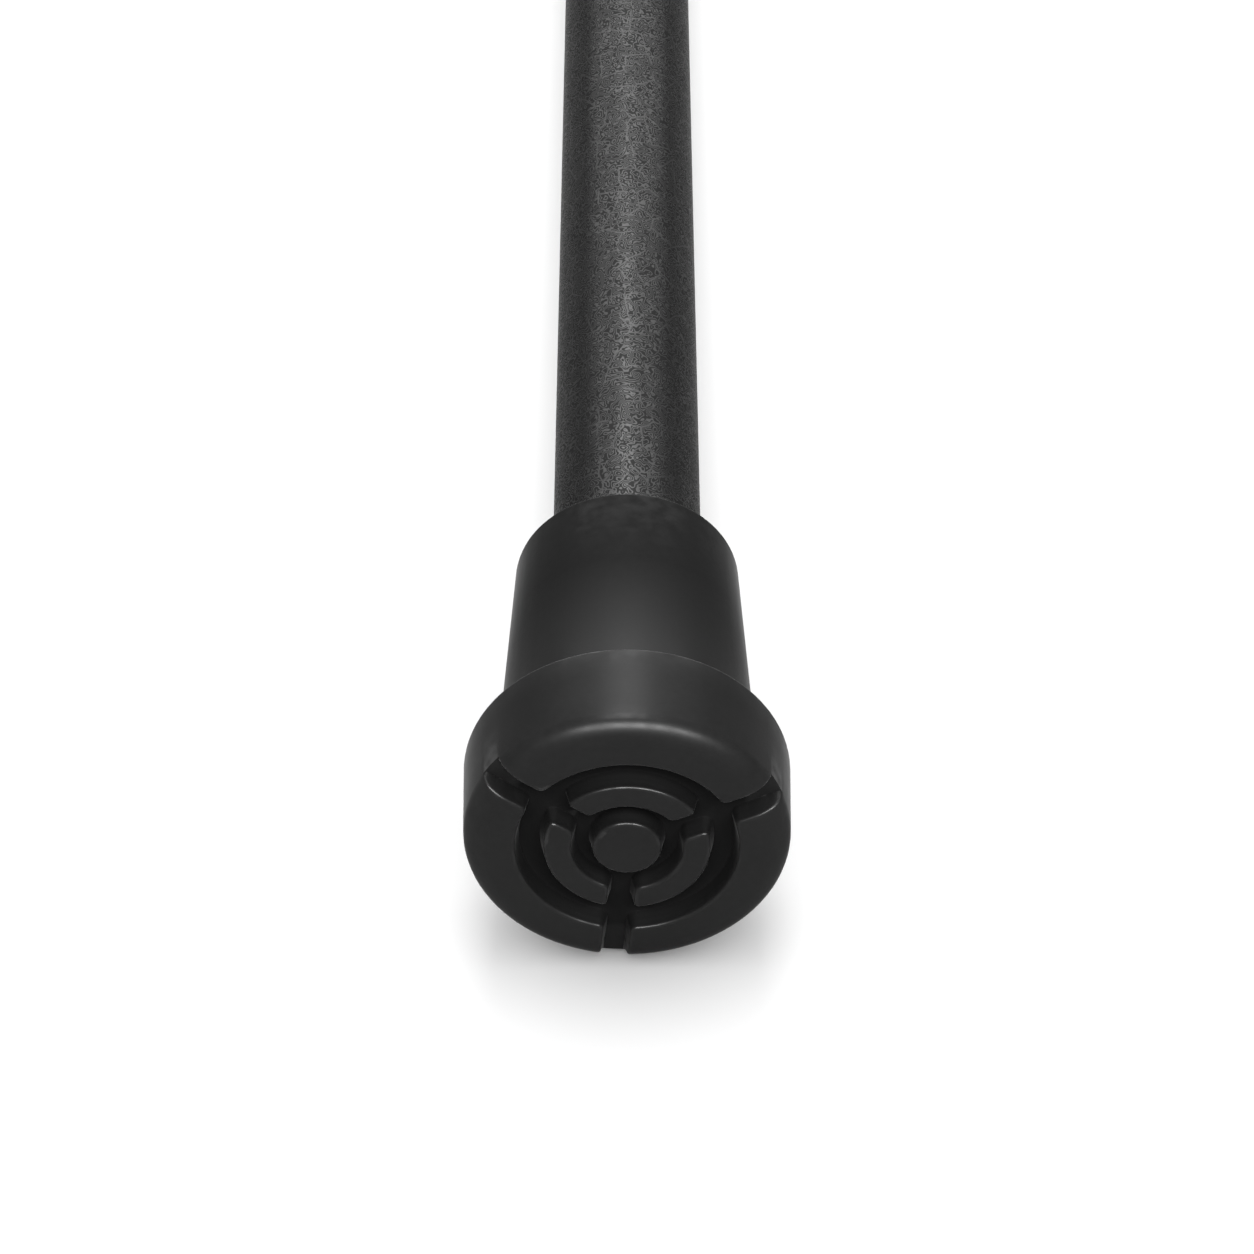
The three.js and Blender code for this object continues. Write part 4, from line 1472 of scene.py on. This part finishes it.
def paint_groove_shade(material):
    """Paints shade into the bottom of the tread's grooves, where little light reaches, and makes it
    duller, since no floor ever rubs it.

    How deep a point lies is its distance from the walking face, inside the outer wall."""
    tree = material.node_tree
    node, wire = wire_nodes(tree)
    shader = tree.nodes["Principled BSDF"]
    place = node("ShaderNodeTexCoord").outputs["Object"]
    parts = node("ShaderNodeSeparateXYZ")
    wire(place, parts.inputs["Vector"])
    deep = remap(tree, parts.outputs["Y"], SHADE_START, SHADE_FULL)
    inside = remap(tree, axis_distance(tree, place), SHADE_OUTSIDE, SHADE_INSIDE)
    mask = arithmetic(tree, "MULTIPLY", deep, inside)
    # painted shade: the deep parts of the grooves turn nearly black
    tint_where(tree, mask, grey(0.002))
    dull = shader.inputs["Roughness"].links[0].from_socket
    rougher = arithmetic(tree, "ADD", dull, arithmetic(tree, "MULTIPLY", mask, 0.35))
    wire(rougher, shader.inputs["Roughness"])


# painted shade in the bottom of the tread's grooves
paint_groove_shade(tip_rubber)
add_bloom(tip_rubber, 0.2)
print("rubber has", len(tip_rubber.node_tree.nodes), "nodes")

# %% [markdown]
# The shaft's powder coat wrinkles as it cures. Painting the ridges lighter would
# look printed on. Instead the skin under them stays dull, the ridges alone carry a
# clear glossy coat, and the same height presses them out of the surface as bump.

# %% Wrinkle coat
def make_wrinkle_coat():
    """Black powder coat: a dull skin, and raised winding ridges that alone are glossy."""
    material = finish("wrinkle_coat", grey(0.007), grey(0.010), (0.55, 0.65), specular=0.25,
                      grain=(5000.0, 0.002))
    tree = material.node_tree
    shader = tree.nodes["Principled BSDF"]
    shader.inputs["Coat Roughness"].default_value = 0.32
    shader.inputs["Coat IOR"].default_value = 2.1
    add_bloom(material, 0.12)
    height = place_group(tree, "worm_wrinkle").outputs["Height"]
    tree.links.new(remap(tree, height, 0.0, 1.0, 0.06, 1.0), shader.inputs["Coat Weight"])
    add_bump(tree, height, 0.01)
    return material


wrinkle_coat = make_wrinkle_coat()

# %% [markdown]
# The other plastics differ in little more than grain, gloss and shade. The handle
# is nylon from a blasted mould. The pad is softer and duller, and the ring is the
# smoothest. The bush inside is nylon without pigment.

# %% Moulded finishes
handle_nylon = finish("handle_nylon", grey(0.012), grey(0.017), (0.42, 0.54), specular=0.4,
                      grain=(4200.0, 0.03), worn=grey(0.03), spread=0.05)
soft_grip = finish("soft_grip", grey(0.013), grey(0.02), (0.72, 0.85), specular=0.3,
                   grain=(3000.0, 0.03), patch=90.0)
ring_nylon = finish("ring_nylon", grey(0.011), grey(0.016), (0.34, 0.46), specular=0.45,
                    grain=(4800.0, 0.015), worn=grey(0.032), spread=0.05)
collet_nylon = finish("collet_nylon", grey(0.02), grey(0.03), (0.45, 0.55),
                      grain=(4000.0, 0.01), worn=grey(0.05))
plug_nylon = finish("plug_nylon", grey(0.018), grey(0.026), (0.5, 0.6), grain=(3600.0, 0.01))
bush_nylon = finish("bush_nylon", grey(0.62, 0.02), grey(0.7, 0.02), (0.4, 0.5), grain=(4000.0, 0.006))
damping_rubber = finish("damping_rubber", grey(0.015), grey(0.022), (0.6, 0.7), specular=0.3,
                        grain=(2600.0, 0.008))

# %% [markdown]
# Metals are mirrors first: their base colour tints the reflection. What tells
# one from another is how they were worked, so the tube gets lines along its
# length, the turned collar gets lines across, the button an even fine grain, and
# the casting gets the coarse grain of its sand or die.

# %% Metal finishes
def worked_metal(name, dark, light, rough, lines, depth, scratched=None, **more):
    """A metal with drawn or turned lines.

    lines are (across, along) scales, and depth is how deep they are, in mm."""
    material = finish(name, dark, light, rough, metal=1.0, **more)
    tree = material.node_tree
    drawn = place_group(tree, "drawn_lines", Across=lines[0], Along=lines[1])
    add_bump(tree, drawn.outputs["Height"], depth)
    if scratched:
        share = arithmetic(tree, "MULTIPLY", drawn.outputs["Scratches"], 0.5)
        tint_where(tree, share, scratched)
    return material


anodised_tube = worked_metal("anodised_tube", grey(0.035), grey(0.05), (0.3, 0.4),
                             (5200.0, 40.0), 0.004, scratched=grey(0.12), grain=(6000.0, 0.001))
collar_metal = worked_metal("collar_metal", grey(0.05), grey(0.07), (0.26, 0.36),
                            (150.0, 6500.0), 0.004, grain=(5000.0, 0.001), worn=grey(0.3))
button_steel = worked_metal("button_steel", grey(0.5), grey(0.58), (0.2, 0.3),
                            (900.0, 900.0), 0.002, grain=(5000.0, 0.001))
screw_steel = worked_metal("screw_steel", grey(0.09), grey(0.13), (0.3, 0.42),
                           (1500.0, 1500.0), 0.002, grain=(5000.0, 0.002))
pin_steel = worked_metal("pin_steel", grey(0.5), grey(0.56), (0.22, 0.3),
                         (2000.0, 2000.0), 0.002, grain=(5000.0, 0.001))
spring_steel = worked_metal("spring_steel", grey(0.3, 0.04), grey(0.38, 0.04), (0.3, 0.42),
                            (5000.0, 60.0), 0.002, grain=(5000.0, 0.001))
washer_steel = worked_metal("washer_steel", grey(0.46), grey(0.52), (0.3, 0.4),
                            (3000.0, 3000.0), 0.003, grain=(5000.0, 0.001))
core_casting = worked_metal("core_casting", grey(0.5), grey(0.56), (0.48, 0.6),
                            (900.0, 900.0), 0.01, grain=(1800.0, 0.04))

# %% Dress the pieces
def dress(piece, material):
    piece.data.materials.clear()
    piece.data.materials.append(material)


for piece, material in ((rubber_tip, tip_rubber), (main_tube, wrinkle_coat),
                        (collet, collet_nylon), (grip_ring, ring_nylon),
                        (inner_tube, anodised_tube), (thumb_button, button_steel),
                        (upper_leg, spring_steel), (lower_leg, spring_steel),
                        (collar, collar_metal), (upper_shell, handle_nylon),
                        (lower_shell, handle_nylon), (palm_rest, soft_grip)):
    dress(piece, material)
for screw in screws:
    dress(screw, screw_steel)

HIDDEN = {"ferrule_washer": washer_steel, "shaft_foot_plug": plug_nylon,
          "damping_ring": damping_rubber, "glide_bush": bush_nylon,
          "handle_core": core_casting, "cross_pin": pin_steel}
for node_name, material in HIDDEN.items():
    frame["nodes"][node_name].material_slots[0].material = material
print("carried over:", sorted(HIDDEN))

# %% [markdown]
# ## Riding the bodies
#
# Last, every piece but one is tied to the rigid body that carries it, so that it
# moves with the joints, and the plain node that it stands for is hidden. One piece
# can't be rigid: the spring's upper leg is held by the handle at its fold and
# follows the button at its other end. It is tied to no body; its place is only
# baked into its mesh.

# %% Finish
LAYOUT = {
    "shaft": [(rubber_tip, "ferrule", "tip_rubber"), (main_tube, "shaft_tube", "wrinkle_coat"),
              (collet, "shaft_collet", "collet_nylon")],
    "lock": [(grip_ring, "locking_ring", "ring_nylon")],
    "handle": [(inner_tube, "handle_tube", "anodised_tube"),
               (lower_leg, "button_spring", "spring_steel"),
               (collar, "handle_collar", "collar_metal"),
               (upper_shell, "handle_shell_left", "handle_nylon"),
               (lower_shell, "handle_shell_right", "handle_nylon"),
               (palm_rest, "palm_pad", "soft_grip")]
              + [(screw, f"shell_screw_{i + 1}", "screw_steel") for i, screw in enumerate(screws)],
    "button": [(thumb_button, "snap_button", "button_steel")],
}
for body, rows in LAYOUT.items():
    for piece, node_name, slot_name in rows:
        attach(piece, body)
        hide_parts(node_name)
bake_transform(upper_leg)
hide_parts("button_spring")
